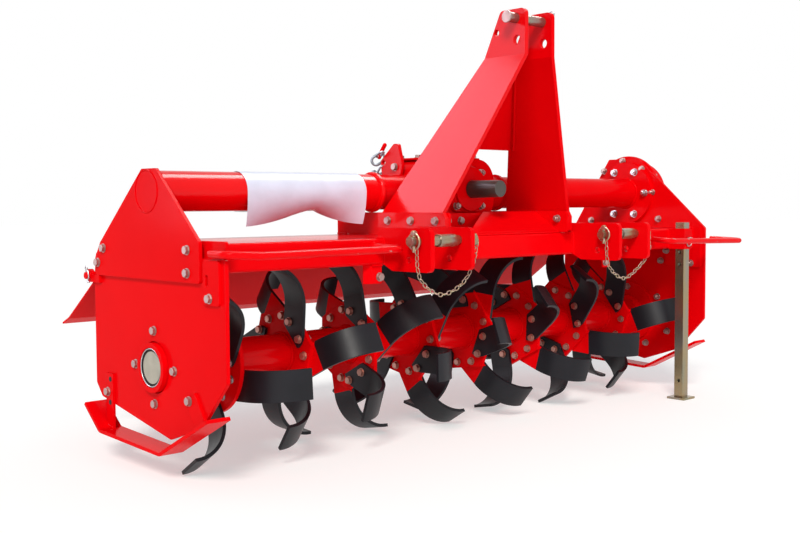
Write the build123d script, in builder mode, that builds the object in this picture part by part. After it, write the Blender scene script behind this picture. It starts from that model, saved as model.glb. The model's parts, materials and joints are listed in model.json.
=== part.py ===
from build123d import *
import math
import os

# Rotary tiller for a tractor's three-point linkage. X runs across the machine, +Y to its rear,
# +Z up. The origin is the end of the PTO input shaft, on its axis. Outlines are laid out from the
# rotor's axis, which is parallel to X.

os.makedirs("parts", exist_ok=True)

# Overall layout
pto_reach = 216  # rotor axis to the PTO shaft's end, forwards
pto_height = 384  # rotor axis to the PTO axis, upwards
plate_gap = 1718  # between the inner faces of the side plates
hitch_offset = 4  # the drive side stands this much further from the hitch's centre
tube_y = 10  # main tube's axis, behind the rotor's
tube_z = 377  # main tube's axis, above the rotor's
floor_z = -234.8  # floor below the rotor's axis
fit = 0.05  # radial running clearance
slack = 0.3  # clearance between bolted or seated pieces of different bodies

rotor_y = pto_reach
rotor_z = -pto_height
left_x = hitch_offset - plate_gap / 2
right_x = hitch_offset + plate_gap / 2


def side_plane(x):
    """Sketch plane across the machine at x: its first axis is Y, its second Z, from the rotor's axis."""
    return Plane(origin=(x, rotor_y, rotor_z), x_dir=(0, 1, 0), z_dir=(1, 0, 0))


def front_plane(y):
    """Sketch plane facing forwards at y: its first axis is X, its second Z, from the rotor's axis."""
    return Plane(origin=(0, rotor_y + y, rotor_z), x_dir=(1, 0, 0), z_dir=(0, -1, 0))


# Side plates
plate_t = 8
plate_front = -272
plate_rear = 261
plate_chamfer_z = -6
plate_tip_y = -60
plate_tip_z = -148
plate_low_y = -179
plate_low_z = -107
plate_heel_y = 235
plate_heel_z = -91
plate_back_z = -61
shelf_z = 240  # top of the left plate ahead of its gusset
seam_z = 189  # lower edge of the left gusset
corner_r = 8

lower_outline = [
    (plate_front, plate_chamfer_z),
    (plate_low_y, plate_low_z),
    (plate_tip_y, plate_tip_z),
    (plate_heel_y, plate_heel_z),
    (plate_rear, plate_back_z),
]

hub_hole_r = 56
hub_bolt_r = 79

# Left gusset: a trapezoid that carries the main tube's end
gusset_top_z = 425
gusset_top_half = 28
gusset_front = -192
gusset_shoulder_z = 271
gusset_rear = 242
gusset_rear_z = 228
gusset_back_y = 217
gusset_back_z = 264

# Right plate's top
crown_z = 486
crown_front = -34
crown_rear = 81
crown_shoulder_z = 270
crown_back_y = 219
crown_back_z = 272
crown_rear_z = 208

# Left side plate
with BuildPart() as side_plate_left:
    with BuildSketch(side_plane(left_x)) as outline:
        with BuildLine():
            Polyline(
                *lower_outline,
                (plate_rear, seam_z),
                (plate_rear - plate_t, shelf_z),
                (plate_front, shelf_z),
                close=True,
            )
        make_face()
        fillet(outline.vertices(), corner_r)
        Circle(hub_hole_r, mode=Mode.SUBTRACT)
    extrude(amount=-plate_t)
side_plate_left.part.label = "side_plate_left"
export_step(side_plate_left.part, "parts/side_plate_left.step")

with BuildPart() as gusset_left:
    with BuildSketch(side_plane(left_x - plate_t)) as outline:
        with BuildLine():
            Polyline(
                (-gusset_top_half, gusset_top_z),
                (gusset_front, gusset_shoulder_z),
                (gusset_front, seam_z),
                (gusset_rear, seam_z),
                (gusset_rear, gusset_rear_z),
                (gusset_back_y, gusset_back_z),
                (gusset_top_half, gusset_top_z),
                close=True,
            )
        make_face()
        fillet(outline.vertices(), corner_r)
    extrude(amount=-plate_t)
gusset_left.part.label = "gusset_left"
export_step(gusset_left.part, "parts/gusset_left.step")

# Tab bolted over the left plate's front corner
tab_t = 6
tab_front = -258
tab_rear = -200
tab_low = 147
tab_high = 238
tab_slot_y = -214
tab_slot_z = 196
tab_slot_length = 24
tab_slot_w = 9

with BuildPart() as corner_tab:
    with BuildSketch(side_plane(left_x - plate_t)):
        with Locations(((tab_front + tab_rear) / 2, (tab_low + tab_high) / 2)):
            RectangleRounded(tab_rear - tab_front, tab_high - tab_low, corner_r)
        with Locations((tab_slot_y, tab_slot_z)):
            SlotOverall(tab_slot_length, tab_slot_w, rotation=90, mode=Mode.SUBTRACT)
    extrude(amount=-tab_t)
corner_tab.part.label = "corner_tab"
export_step(corner_tab.part, "parts/corner_tab.step")

with BuildPart() as side_plate_right:
    with BuildSketch(side_plane(right_x)) as outline:
        with BuildLine():
            Polyline(
                *lower_outline,
                (plate_rear, crown_rear_z),
                (crown_back_y, crown_back_z),
                (crown_rear, crown_z),
                (crown_front, crown_z),
                (plate_front, crown_shoulder_z),
                close=True,
            )
        make_face()
        fillet(outline.vertices(), corner_r)
    extrude(amount=plate_t)
side_plate_right.part.label = "side_plate_right"
export_step(side_plate_right.part, "parts/side_plate_right.step")

# Gear case: a hollow cover outside the right plate, round three gears in a train
case_depth = 78
case_wall = 6
case_flange_t = 8
case_flange = 18
# centre y, centre z and radius of the rounded outline at each gear
case_lobes = [(14, tube_z, 100), (10, 200, 126), (0, 0, 114)]
case_round = 22

with BuildPart() as gear_case:
    for grow, start, depth in [(0, 0, case_depth), (case_flange, 0, case_flange_t)]:
        with BuildSketch(side_plane(right_x + plate_t + start)):
            with BuildLine():
                for lobe_y, lobe_z, lobe_r in case_lobes:
                    CenterArc((lobe_y, lobe_z), lobe_r + grow, 0, 360)
            make_hull()
        extrude(amount=depth)
    outer_face = gear_case.faces().sort_by(Axis.X)[-1]
    fillet(outer_face.edges(), case_round)
    with BuildSketch(side_plane(right_x + plate_t)):
        with BuildLine():
            for lobe_y, lobe_z, lobe_r in case_lobes:
                CenterArc((lobe_y, lobe_z), lobe_r - case_wall, 0, 360)
        make_hull()
    extrude(amount=case_depth - case_wall - case_round, mode=Mode.SUBTRACT)
gear_case.part.label = "gear_case"
export_step(gear_case.part, "parts/gear_case.step")

# Front beam: square tube with an end plate at each side plate
beam_y = -205
beam_z = 240
beam_side = 60
beam_wall = 5
beam_end_t = 8
beam_end_front = -262
beam_end_rear = -140
beam_end_low = 150
beam_end_high = 275
beam_face = beam_y - beam_side / 2
beam_top = beam_z + beam_side / 2
beam_bottom = beam_z - beam_side / 2

with BuildPart() as front_beam:
    with BuildSketch(side_plane(left_x + beam_end_t)):
        with Locations((beam_y, beam_z)):
            RectangleRounded(beam_side, beam_side, corner_r)
            Rectangle(beam_side - 2 * beam_wall, beam_side - 2 * beam_wall, mode=Mode.SUBTRACT)
    extrude(amount=plate_gap - 2 * beam_end_t)
    for end_x in (left_x, right_x - beam_end_t):
        with BuildSketch(side_plane(end_x)):
            with Locations(((beam_end_front + beam_end_rear) / 2, (beam_end_low + beam_end_high) / 2)):
                RectangleRounded(beam_end_rear - beam_end_front, beam_end_high - beam_end_low, corner_r)
        extrude(amount=beam_end_t)
front_beam.part.label = "front_beam"
export_step(front_beam.part, "parts/front_beam.step")

# Lugs under the beam, outside the lower hitch: a strip with its outer end turned back
lug_t = 6
lug_low = 168
lug_in = 414
lug_fold = 444
lug_out = 457
lug_y = beam_face + corner_r
lug_back = 12
lug_bend = 6

with BuildPart() as beam_lugs:
    for side in (-1, 1):
        with BuildSketch(Plane.XY.offset(rotor_z + lug_low)):
            with BuildLine():
                FilletPolyline(
                    (side * lug_in, rotor_y + lug_y),
                    (side * lug_fold, rotor_y + lug_y),
                    (side * lug_out, rotor_y + lug_y + lug_back),
                    radius=lug_bend,
                )
            trace(line_width=lug_t)
        extrude(amount=beam_bottom - lug_low)
beam_lugs.part.label = "beam_lugs"
export_step(beam_lugs.part, "parts/beam_lugs.step")

# Main tube, in two lengths from the gearbox's necks to the sides
tube_r = 44.5
tube_wall = 6
collar_x = 223  # inner face of the collar that joins tube and gearbox neck
collar_t = 14
collar_r = 51
collar_round = 6
flange_r = 98
flange_t = 14

with BuildPart() as main_tube_left:
    with BuildSketch(side_plane(left_x - plate_t)):
        with Locations((tube_y, tube_z)):
            Circle(tube_r)
            Circle(tube_r - tube_wall, mode=Mode.SUBTRACT)
    extrude(amount=-left_x + plate_t - collar_x)
    with BuildSketch(side_plane(-collar_x)):
        with Locations((tube_y, tube_z)):
            Circle(collar_r)
            Circle(tube_r - tube_wall, mode=Mode.SUBTRACT)
    extrude(amount=-collar_t)
    rims = main_tube_left.edges().filter_by(GeomType.CIRCLE).filter_by(lambda rim: rim.radius == collar_r)
    fillet(rims, collar_round)
main_tube_left.part.label = "main_tube_left"
export_step(main_tube_left.part, "parts/main_tube_left.step")

with BuildPart() as main_tube_right:
    with BuildSketch(side_plane(collar_x)):
        with Locations((tube_y, tube_z)):
            Circle(tube_r)
            Circle(tube_r - tube_wall, mode=Mode.SUBTRACT)
    extrude(amount=right_x - collar_x)
    with BuildSketch(side_plane(collar_x)):
        with Locations((tube_y, tube_z)):
            Circle(collar_r)
            Circle(tube_r - tube_wall, mode=Mode.SUBTRACT)
    extrude(amount=collar_t)
    rims = main_tube_right.edges().filter_by(GeomType.CIRCLE).filter_by(lambda rim: rim.radius == collar_r)
    fillet(rims, collar_round)
    with BuildSketch(side_plane(right_x)):
        with Locations((tube_y, tube_z)):
            Circle(flange_r)
            Circle(tube_r - tube_wall, mode=Mode.SUBTRACT)
    extrude(amount=-flange_t)
main_tube_right.part.label = "main_tube_right"
export_step(main_tube_right.part, "parts/main_tube_right.step")

# Loose sheet wrapped round the left tube, its two front corners hanging below the seam
wrap_left = -641
wrap_right = -287
wrap_t = 1.7
wrap_seam_drop = 79  # from the tube's axis to the hanging corners
wrap_arch_drop = 37
wrap_arch_in = 81  # from the sheet's end to the arch between its corners
wrap_flap = 125

with BuildPart() as tube_wrap:
    with BuildSketch(side_plane(wrap_left)):
        with Locations((tube_y, tube_z)):
            Circle(tube_r + slack + wrap_t)
            Circle(tube_r + slack, mode=Mode.SUBTRACT)
    extrude(amount=wrap_right - wrap_left)
    for end, inward in ((wrap_left, 1), (wrap_right, -1)):
        with BuildSketch(front_plane(tube_y - tube_r - slack)):
            with BuildLine():
                Polyline(
                    (end, tube_z),
                    (end + inward * 2 * wrap_t, tube_z - wrap_seam_drop),
                    (end + inward * wrap_arch_in, tube_z - wrap_arch_drop),
                    (end + inward * wrap_flap, tube_z),
                    close=True,
                )
            make_face()
        extrude(amount=wrap_t)
tube_wrap.part.label = "tube_wrap"
export_step(tube_wrap.part, "parts/tube_wrap.step")

# Gearbox: cast housing with a neck to each tube and a bolted input flange
box_half = 112
box_front = -95
box_rear = 105
box_low = 300
box_high = 462
box_round = 20
input_front = -120  # front face of the input flange
input_half = 58
input_boss_r = 56
shaft_r = 17.5
shaft_back = 40  # how far the shaft runs inside the housing
cap_root_r = 23
cap_end_r = 21
cap_wall = 3

with BuildPart() as gearbox:
    with BuildSketch(front_plane(box_rear)):
        with Locations((0, (box_low + box_high) / 2)):
            RectangleRounded(2 * box_half, box_high - box_low, 3 * box_round)
    extrude(amount=box_rear - box_front)
    with BuildSketch(side_plane(-collar_x)):
        with Locations((tube_y, tube_z)):
            Circle(tube_r)
    extrude(amount=2 * collar_x)
    with BuildSketch(front_plane(box_front)):
        with Locations((0, pto_height)):
            RectangleRounded(2 * input_half, 2 * input_half, box_round)
    extrude(amount=(box_front - input_front) / 2)
    with BuildSketch(front_plane(box_front)):
        with Locations((0, pto_height)):
            Circle(input_boss_r)
    extrude(amount=box_front - input_front)
    with BuildSketch(front_plane(input_front)):
        with Locations((0, pto_height)):
            Circle(shaft_r + fit)
    extrude(amount=-(shaft_back + box_front - input_front), mode=Mode.SUBTRACT)
gearbox.part.label = "gearbox"
export_step(gearbox.part, "parts/gearbox.step")

with BuildPart() as pto_shaft:
    with BuildSketch(front_plane(-pto_reach)):
        with Locations((0, pto_height)):
            Circle(shaft_r)
    extrude(amount=-(pto_reach + input_front + shaft_back))
pto_shaft.part.label = "pto_shaft"
export_step(pto_shaft.part, "parts/pto_shaft.step")

cap_gap = 2
with BuildPart() as pto_cap:
    with BuildSketch(front_plane(input_front - cap_gap)):
        with Locations((0, pto_height)):
            Circle(cap_root_r)
    with BuildSketch(front_plane(-pto_reach - cap_wall)):
        with Locations((0, pto_height)):
            Circle(cap_end_r)
    loft()
    with BuildSketch(front_plane(input_front)):
        with Locations((0, pto_height)):
            Circle(shaft_r)
    extrude(amount=pto_reach + input_front, mode=Mode.SUBTRACT)
pto_cap.part.label = "pto_cap"
export_step(pto_cap.part, "parts/pto_cap.step")

# Cradle: a rail each side of the gearbox, from the front beam back under the main tube
rail_x = 226  # outer face
rail_t = 8
rail_front = -258
rail_rear = 150
rail_high = 326

for side, name in ((-1, "cradle_left"), (1, "cradle_right")):
    with BuildPart() as cradle:
        with BuildSketch(side_plane(side * rail_x)) as outline:
            with BuildLine():
                Polyline(
                    (rail_front, beam_top),
                    (rail_rear, beam_top),
                    (rail_rear, rail_high),
                    (rail_front, rail_high),
                    close=True,
                )
            make_face()
            fillet(outline.vertices(), corner_r)
        extrude(amount=-side * rail_t)
    cradle.part.label = name
    export_step(cradle.part, f"parts/{name}.step")

# Plates between the beam and the gearbox: an upright one and one that slopes up to it
brace_left = -127
brace_front = -150
brace_t = 8
brace_high = 323
slope_t = 6
slope_left = -134  # its left edge runs from here, on the beam,
slope_corner = 21  # to here, on the upright plate
slope_foot = beam_face + corner_r + slope_t / 2 - 2
slope_lift = 6

with BuildPart() as input_brace:
    with BuildSketch(front_plane(brace_front)):
        with Locations(((brace_left + rail_x - rail_t) / 2, (beam_top + brace_high) / 2)):
            Rectangle(rail_x - rail_t - brace_left, brace_high - beam_top)
    extrude(amount=-brace_t)
    with BuildPart(mode=Mode.PRIVATE) as sloping_plate:
        with BuildSketch(side_plane(slope_left)):
            with BuildLine():
                Polyline(
                    (slope_foot, beam_top),
                    (slope_foot, beam_top + slope_lift),
                    (brace_front + brace_t / 2, brace_high),
                )
            trace(line_width=slope_t)
        extrude(amount=rail_x - rail_t - slope_left)
        with BuildSketch(Plane.XY.offset(rotor_z + beam_top)):
            with BuildLine():
                Polyline(
                    (slope_left, rotor_y + beam_face),
                    (rail_x - rail_t, rotor_y + beam_face),
                    (rail_x - rail_t, rotor_y + brace_front + brace_t),
                    (slope_corner, rotor_y + brace_front + brace_t),
                    close=True,
                )
            make_face()
        extrude(amount=2 * beam_side, mode=Mode.INTERSECT)
    add(sloping_plate.part)
input_brace.part.label = "input_brace"
export_step(input_brace.part, "parts/input_brace.step")

# Mast: two folded plates and a back plate
mast_t = 12
mast_top_half = 43  # inner face at the top
mast_top_z = 812
mast_fold_z = 703
mast_foot_z = rail_high
mast_foot_low = 276
mast_front = -346
mast_foot_front = -258
mast_knee_front = -250
mast_foot_rear = -22
mast_rear_top = -268
mast_rear_fold = -223
mast_rear_knee = -38
mast_round = 14
back_t = 8
back_low = 487
back_high = 740
top_pin_y = -316
top_pin_z = 790
top_pin_r = 12.5
spare_y = -320
spare_z = 738
spare_r = 11.25
eye_y = -255
eye_z = 761
eye_r = 8

rear_slope = (mast_rear_knee - mast_rear_fold) / (mast_fold_z + 15 - mast_foot_z)

for side, name in ((-1, "mast_left"), (1, "mast_right")):
    with BuildPart() as mast:
        with BuildSketch(front_plane(0)):
            with BuildLine():
                Polyline(
                    (side * mast_top_half, mast_top_z),
                    (side * mast_top_half, mast_fold_z),
                    (side * rail_x, mast_foot_z),
                    (side * rail_x, mast_foot_low),
                    (side * (rail_x + mast_t), mast_foot_low),
                    (side * (rail_x + mast_t), mast_foot_z),
                    (side * (mast_top_half + mast_t), mast_fold_z),
                    (side * (mast_top_half + mast_t), mast_top_z),
                    close=True,
                )
            make_face()
        extrude(amount=-mast_front)
        with BuildSketch(side_plane(-rail_x - mast_t)) as outline:
            with BuildLine():
                Polyline(
                    (mast_front, mast_top_z),
                    (mast_front, mast_fold_z),
                    (mast_knee_front, mast_foot_z),
                    (mast_foot_front, mast_foot_z - mast_round),
                    (mast_foot_front, mast_foot_low),
                    (mast_foot_rear, mast_foot_low),
                    (mast_foot_rear, mast_foot_z),
                    (mast_rear_knee, mast_foot_z),
                    (mast_rear_fold, mast_fold_z + 15),
                    (mast_rear_top, mast_top_z),
                    close=True,
                )
            make_face()
            fillet(outline.vertices().sort_by(Axis.Y)[-2:], mast_round)
            with Locations((top_pin_y, top_pin_z)):
                Circle(top_pin_r + fit, mode=Mode.SUBTRACT)
            with Locations((spare_y, spare_z)):
                Circle(spare_r, mode=Mode.SUBTRACT)
            with Locations((eye_y, eye_z)):
                Circle(eye_r, mode=Mode.SUBTRACT)
        extrude(amount=2 * (rail_x + mast_t), mode=Mode.INTERSECT)
    mast.part.label = name
    export_step(mast.part, f"parts/{name}.step")


def mast_inner(z):
    """Half the width between the two mast plates' inner faces at height z."""
    return mast_top_half + (rail_x - mast_top_half) * max(0, mast_fold_z - z) / (mast_fold_z - mast_foot_z)


def mast_rear(z):
    """Rear edge of the mast plates at height z."""
    fold = mast_fold_z + 15
    if z > fold:
        return mast_rear_fold + (mast_rear_top - mast_rear_fold) * (z - fold) / (mast_top_z - fold)
    return mast_rear_knee + (mast_rear_fold - mast_rear_knee) * (z - mast_foot_z) / (fold - mast_foot_z)


with BuildPart() as mast_back:
    with BuildSketch(front_plane(0)):
        with BuildLine():
            Polyline(
                (-mast_inner(back_low), back_low),
                (mast_inner(back_low), back_low),
                (mast_top_half, mast_fold_z),
                (mast_top_half, back_high),
                (-mast_top_half, back_high),
                (-mast_top_half, mast_fold_z),
                close=True,
            )
        make_face()
    extrude(amount=-mast_front)
    with BuildSketch(side_plane(-rail_x)):
        with BuildLine():
            Polyline(
                (mast_rear(back_low), back_low),
                (mast_rear(mast_fold_z + 15), mast_fold_z + 15),
                (mast_rear(back_high), back_high),
                (mast_rear(back_high) - back_t, back_high),
                (mast_rear(mast_fold_z + 15) - back_t, mast_fold_z + 15),
                (mast_rear(back_low) - back_t, back_low),
                close=True,
            )
        make_face()
    extrude(amount=2 * rail_x, mode=Mode.INTERSECT)
mast_back.part.label = "mast_back"
export_step(mast_back.part, "parts/mast_back.step")

# Top link pin
top_pin_left = 84
top_pin_right = 72
with BuildPart() as top_pin:
    with BuildSketch(side_plane(-top_pin_left)):
        with Locations((top_pin_y, top_pin_z)):
            Circle(top_pin_r)
    extrude(amount=top_pin_left + top_pin_right)
top_pin.part.label = "top_pin"
export_step(top_pin.part, "parts/top_pin.step")

# Lower hitch: two clevises on the front beam, each with a pin and bush
clevis_t = 12
clevis_in = 272  # inner plate's face nearest the middle
clevis_out = 411  # outer plate's outer face
clevis_front = -385
clevis_low = 197
clevis_high = 294
clevis_heel = -262
clevis_hook = -214
clevis_round = 14
hitch_pin_y = -345
hitch_pin_z = 265
hitch_pin_r = 11
spare_hole_y = -316
spare_hole_z = 223
spare_hole_r = 8.5
bush_r = 14.2
bush_length = 50
bush_cone = 17
pin_head_r = 17
pin_head_t = 12
pin_head_gap = 24
pin_tail = 26
pin_eye_t = 2.4
pin_eye_out = 9
pin_eye_w = 12
pin_eye_drop = 6
pin_eye_r = 2.3
lynch_r = 4.5
lynch_gap = 12  # from the clevis to the lynch pin
lynch_over = 13  # how far it stands out of the hitch pin, above and below
lynch_ring_r = 20
lynch_wire_r = 1.8
ring_room = 2.4  # between the ring's wire and the chain's first crown

for side, name in ((-1, "hitch_clevis_left"), (1, "hitch_clevis_right")):
    with BuildPart() as clevis:
        for plate_x in (clevis_in, clevis_out - clevis_t):
            with BuildSketch(side_plane(side * plate_x)) as outline:
                with BuildLine():
                    Polyline(
                        (clevis_front, clevis_high),
                        (clevis_front, clevis_low),
                        (clevis_heel, clevis_low),
                        (beam_face, beam_bottom),
                        (beam_face, beam_top),
                        (clevis_hook, beam_top),
                        (clevis_hook, clevis_high),
                        close=True,
                    )
                make_face()
                fillet(outline.vertices().sort_by(Axis.X)[:3], clevis_round)
                with Locations((hitch_pin_y, hitch_pin_z)):
                    Circle(hitch_pin_r + fit, mode=Mode.SUBTRACT)
                with Locations((spare_hole_y, spare_hole_z)):
                    Circle(spare_hole_r, mode=Mode.SUBTRACT)
            extrude(amount=side * clevis_t)
    clevis.part.label = name
    export_step(clevis.part, f"parts/{name}.step")

for start, end, name in (
    (-clevis_out, -clevis_in, "hitch_pin_left"),
    (clevis_in, clevis_out, "hitch_pin_right"),
):
    bush_end = end - clevis_t
    with BuildPart() as hitch_pin:
        with BuildSketch(side_plane(start - pin_tail)):
            with Locations((hitch_pin_y, hitch_pin_z)):
                Circle(hitch_pin_r)
        extrude(amount=end - start + pin_tail + pin_head_gap)
        with BuildSketch(side_plane(end + pin_head_gap)):
            with Locations((hitch_pin_y, hitch_pin_z)):
                Circle(pin_head_r)
        extrude(amount=pin_head_t)
        with BuildSketch(side_plane(bush_end - bush_cone - bush_length)):
            with Locations((hitch_pin_y, hitch_pin_z)):
                Circle(bush_r)
        extrude(amount=bush_length)
        with BuildSketch(side_plane(bush_end - bush_cone)):
            with Locations((hitch_pin_y, hitch_pin_z)):
                Circle(bush_r)
        with BuildSketch(side_plane(bush_end)):
            with Locations((hitch_pin_y, hitch_pin_z)):
                Circle(hitch_pin_r)
        loft()
        head_end = end + pin_head_gap + pin_head_t
        with BuildSketch(front_plane(hitch_pin_y - pin_head_r / 2)):
            with Locations((head_end, hitch_pin_z - pin_eye_drop)):
                Rectangle(pin_eye_out, pin_eye_w, align=(Align.MIN, Align.CENTER))
            with Locations((head_end + pin_eye_out / 2, hitch_pin_z - pin_eye_drop)):
                Circle(pin_eye_r, mode=Mode.SUBTRACT)
        extrude(amount=pin_eye_t / 2, both=True)
        with BuildSketch(Plane.XY.offset(rotor_z + hitch_pin_z)):
            with Locations((start - lynch_gap, rotor_y + hitch_pin_y)):
                Circle(lynch_r + fit)
        extrude(amount=2 * hitch_pin_r, both=True, mode=Mode.SUBTRACT)
    hitch_pin.part.label = name
    export_step(hitch_pin.part, f"parts/{name}.step")

# Lynch pins through the hitch pins' tails, each with its sprung ring
with BuildPart() as lynch_pins:
    for clevis_face in (-clevis_out, clevis_in):
        lynch_x = clevis_face - lynch_gap
        with BuildSketch(Plane.XY.offset(rotor_z + hitch_pin_z)):
            with Locations((lynch_x, rotor_y + hitch_pin_y)):
                Circle(lynch_r)
        extrude(amount=hitch_pin_r + lynch_over, both=True)
        with BuildSketch(Plane.XY.offset(rotor_z + hitch_pin_z)):
            with Locations((lynch_x, rotor_y + hitch_pin_y + lynch_ring_r)):
                RegularPolygon(lynch_wire_r, 6)
        revolve(axis=Axis((lynch_x, rotor_y + hitch_pin_y, rotor_z + hitch_pin_z), (1, 0, 0)))
lynch_pins.part.label = "lynch_pins"
export_step(lynch_pins.part, "parts/lynch_pins.step")

# Chains of welded oval links, each turned a quarter from the last and bearing on it
link_corner = 0.3  # chamfer of a link's corners, as a share of its width


def make_chain(name, route, length, width, wire, turned):
    """Links along a route that lies in a plane; its first point is in the first link's crown."""
    with BuildPart() as link:
        for inset, mode in ((0, Mode.ADD), (wire, Mode.SUBTRACT)):
            with BuildSketch() as oval:
                Rectangle(length - 2 * inset, width - 2 * inset)
                chamfer(oval.vertices(), link_corner * (width - 2 * inset))
            extrude(amount=wire / 2, both=True, mode=mode)
    path = Spline(*route)
    count = int(path.length / (length - 2 * wire))
    seats = [path @ (index / count) for index in range(count + 1)]
    facing = (seats[1] - seats[0]).cross(seats[-1] - seats[1]).normalized()
    with BuildPart() as chain:
        for index in range(count):
            along = (seats[index + 1] - seats[index]).normalized()
            normal = along.cross(facing) if (index + turned) % 2 else facing
            middle = (seats[index] + seats[index + 1]) / 2
            with Locations(Plane(origin=middle, x_dir=along, z_dir=normal).location):
                add(link.part)
    chain.part.label = name
    export_step(chain.part, f"parts/{name}.step")


pin_link = 18.7
pin_link_w = 9.5
pin_link_wire = 2.6
pin_chain_y = hitch_pin_y - pin_head_r / 2
# x and z between the ends of each chain
pin_chain_left = [(-420, 204), (-404, 173), (-350, 145), (-284, 164), (-245, 208)]
pin_chain_right = [(263, 204), (279, 174), (335, 147), (397, 170), (450, 211)]
ring_hang = math.sqrt(lynch_ring_r**2 - (pin_chain_y - hitch_pin_y) ** 2) - lynch_wire_r - ring_room

for clevis_face, far_face, middle_points, name in (
    (-clevis_out, -clevis_in, pin_chain_left, "pin_chain_left"),
    (clevis_in, clevis_out, pin_chain_right, "pin_chain_right"),
):
    eye_x = far_face + pin_head_gap + pin_head_t + pin_eye_out / 2
    points = [
        (clevis_face - lynch_gap, hitch_pin_z - ring_hang),
        *middle_points,
        (eye_x, hitch_pin_z - pin_eye_drop - pin_link_wire / 2),
    ]
    route = [(x, rotor_y + pin_chain_y, rotor_z + z) for x, z in points]
    make_chain(name, route, pin_link, pin_link_w, pin_link_wire, 0)

# Guards: bent round rod from the beam round each front corner
guard_r = 8
guard_bend = 24
guard_start = 30  # from the left clevis to the rod's weld on the beam
guard_turn = 19  # from the left clevis to the rod's first corner
# x, y and z of each corner of the rod, from the rotor's axis
guard_left_route = [
    (-clevis_out - guard_start, beam_face + guard_r, 252),
    (-clevis_out - guard_turn, -324, 249),
    (-812, -324, 247),
    (left_x - plate_t - guard_r - 1, -285, 250),
    (left_x - plate_t - guard_r - 1, gusset_front, 252),
]
guard_right_route = [
    (635, beam_face + guard_r, 244),
    (587, -324, 238),
    (1005, -324, 229),
    (904, -128, 241),
]

for route, name in ((guard_left_route, "guard_left"), (guard_right_route, "guard_right")):
    points = [(x, rotor_y + y, rotor_z + z) for x, y, z in route]
    with BuildPart() as guard:
        with BuildLine() as path:
            FilletPolyline(*points, radius=guard_bend)
        with BuildSketch(Plane(origin=path.line @ 0, z_dir=path.line % 0)):
            Circle(guard_r)
        sweep()
        split(bisect_by=front_plane(beam_face), keep=Keep.TOP)
    guard.part.label = name
    export_step(guard.part, f"parts/{name}.step")

# Parking stand: square tube in a sleeve on the front of the beam
stand_x = 745
stand_y = -270
stand_side = 28
stand_wall = 3
stand_top = 288
stand_foot = 58
stand_foot_t = 6
sleeve_wall = 5
sleeve_gap = 0.5
sleeve_side = stand_side + 2 * (sleeve_gap + sleeve_wall)
stand_hole_r = 5.5
stand_holes = (240, 200, 164, -180)

with BuildPart() as stand_sleeve:
    with BuildSketch(Plane.XY.offset(rotor_z + beam_bottom)):
        with Locations((stand_x, rotor_y + stand_y)):
            Rectangle(sleeve_side, sleeve_side)
        with Locations((stand_x, rotor_y + beam_face)):
            Rectangle(sleeve_side, beam_face - stand_y, align=(Align.CENTER, Align.MAX))
        with Locations((stand_x, rotor_y + stand_y)):
            Rectangle(stand_side + 2 * sleeve_gap, stand_side + 2 * sleeve_gap, mode=Mode.SUBTRACT)
    extrude(amount=beam_side)
stand_sleeve.part.label = "stand_sleeve"
export_step(stand_sleeve.part, "parts/stand_sleeve.step")

with BuildPart() as stand_leg:
    with BuildSketch(Plane.XY.offset(rotor_z + floor_z)):
        with Locations((stand_x, rotor_y + stand_y)):
            Rectangle(stand_foot, stand_foot)
    extrude(amount=stand_foot_t)
    with BuildSketch(Plane.XY.offset(rotor_z + floor_z + stand_foot_t)):
        with Locations((stand_x, rotor_y + stand_y)):
            Rectangle(stand_side, stand_side)
            Rectangle(stand_side - 2 * stand_wall, stand_side - 2 * stand_wall, mode=Mode.SUBTRACT)
    extrude(amount=stand_top - floor_z - stand_foot_t)
    with BuildSketch(side_plane(stand_x - stand_side)):
        with Locations(*[(stand_y, hole_z) for hole_z in stand_holes]):
            Circle(stand_hole_r)
    extrude(amount=2 * stand_side, mode=Mode.SUBTRACT)
stand_leg.part.label = "stand_leg"
export_step(stand_leg.part, "parts/stand_leg.step")

# Skids: a bent flat bar under each side plate on two brackets
skid_w = 55
skid_t = 8
skid_out = 34  # outer edge, outside the side plate's outer face
skid_bend = 16
# y and z of the bar's middle line, front to rear
skid_line = [(-251, -78), (-68, -173), (191, -161), (257, -107)]
skid_bolt_y = 190
skid_bar_w = 30
skid_bar_t = 6
skid_bar_top = -33
skid_bar_low = -161
# y and z of the front stay's corners; the last two lie in the bar
skid_stay = [(-129, -62.5), (-163, -35), (-208, -100), (-174, -119)]

for side, plate_x, name in ((-1, left_x - plate_t, "skid_left"), (1, right_x + plate_t, "skid_right")):
    with BuildPart() as skid:
        with BuildSketch(side_plane(plate_x + side * skid_out)):
            with BuildLine():
                FilletPolyline(*skid_line, radius=skid_bend)
            trace(line_width=skid_t)
        extrude(amount=-side * skid_w)
        with BuildSketch(side_plane(plate_x)):
            with Locations((skid_bolt_y, skid_bar_top)):
                Rectangle(skid_bar_w, skid_bar_top - skid_bar_low, align=(Align.CENTER, Align.MAX))
            with BuildLine():
                Polyline(*skid_stay, close=True)
            make_face()
        extrude(amount=side * skid_bar_t)
    skid.part.label = name
    export_step(skid.part, f"parts/{name}.step")

# Rotor: tube with eight plates, six blades to a plate
rotor_tube_r = 45
rotor_tube_wall = 8
plate_hex_r = 116
plate_disc_r = 118
rotor_plate_t = 10
blades_per_plate = 6
blade_bolt_r = 89
journal_r = 25
journal_left = left_x - plate_t
journal_right = right_x - 4
# x of the plate's middle, turn of its first blade in degrees; that one is bent to the left
rotor_plates = [
    (-719, 39),
    (-522, 17),
    (-318, 2),
    (-114, 101),
    (91, 82),
    (295, 62),
    (499, 46),
    (703, 22),
]

first_x = rotor_plates[0][0]
last_x = rotor_plates[-1][0]
tube_over = 30  # how far the rotor's tube runs past its end plates

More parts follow.
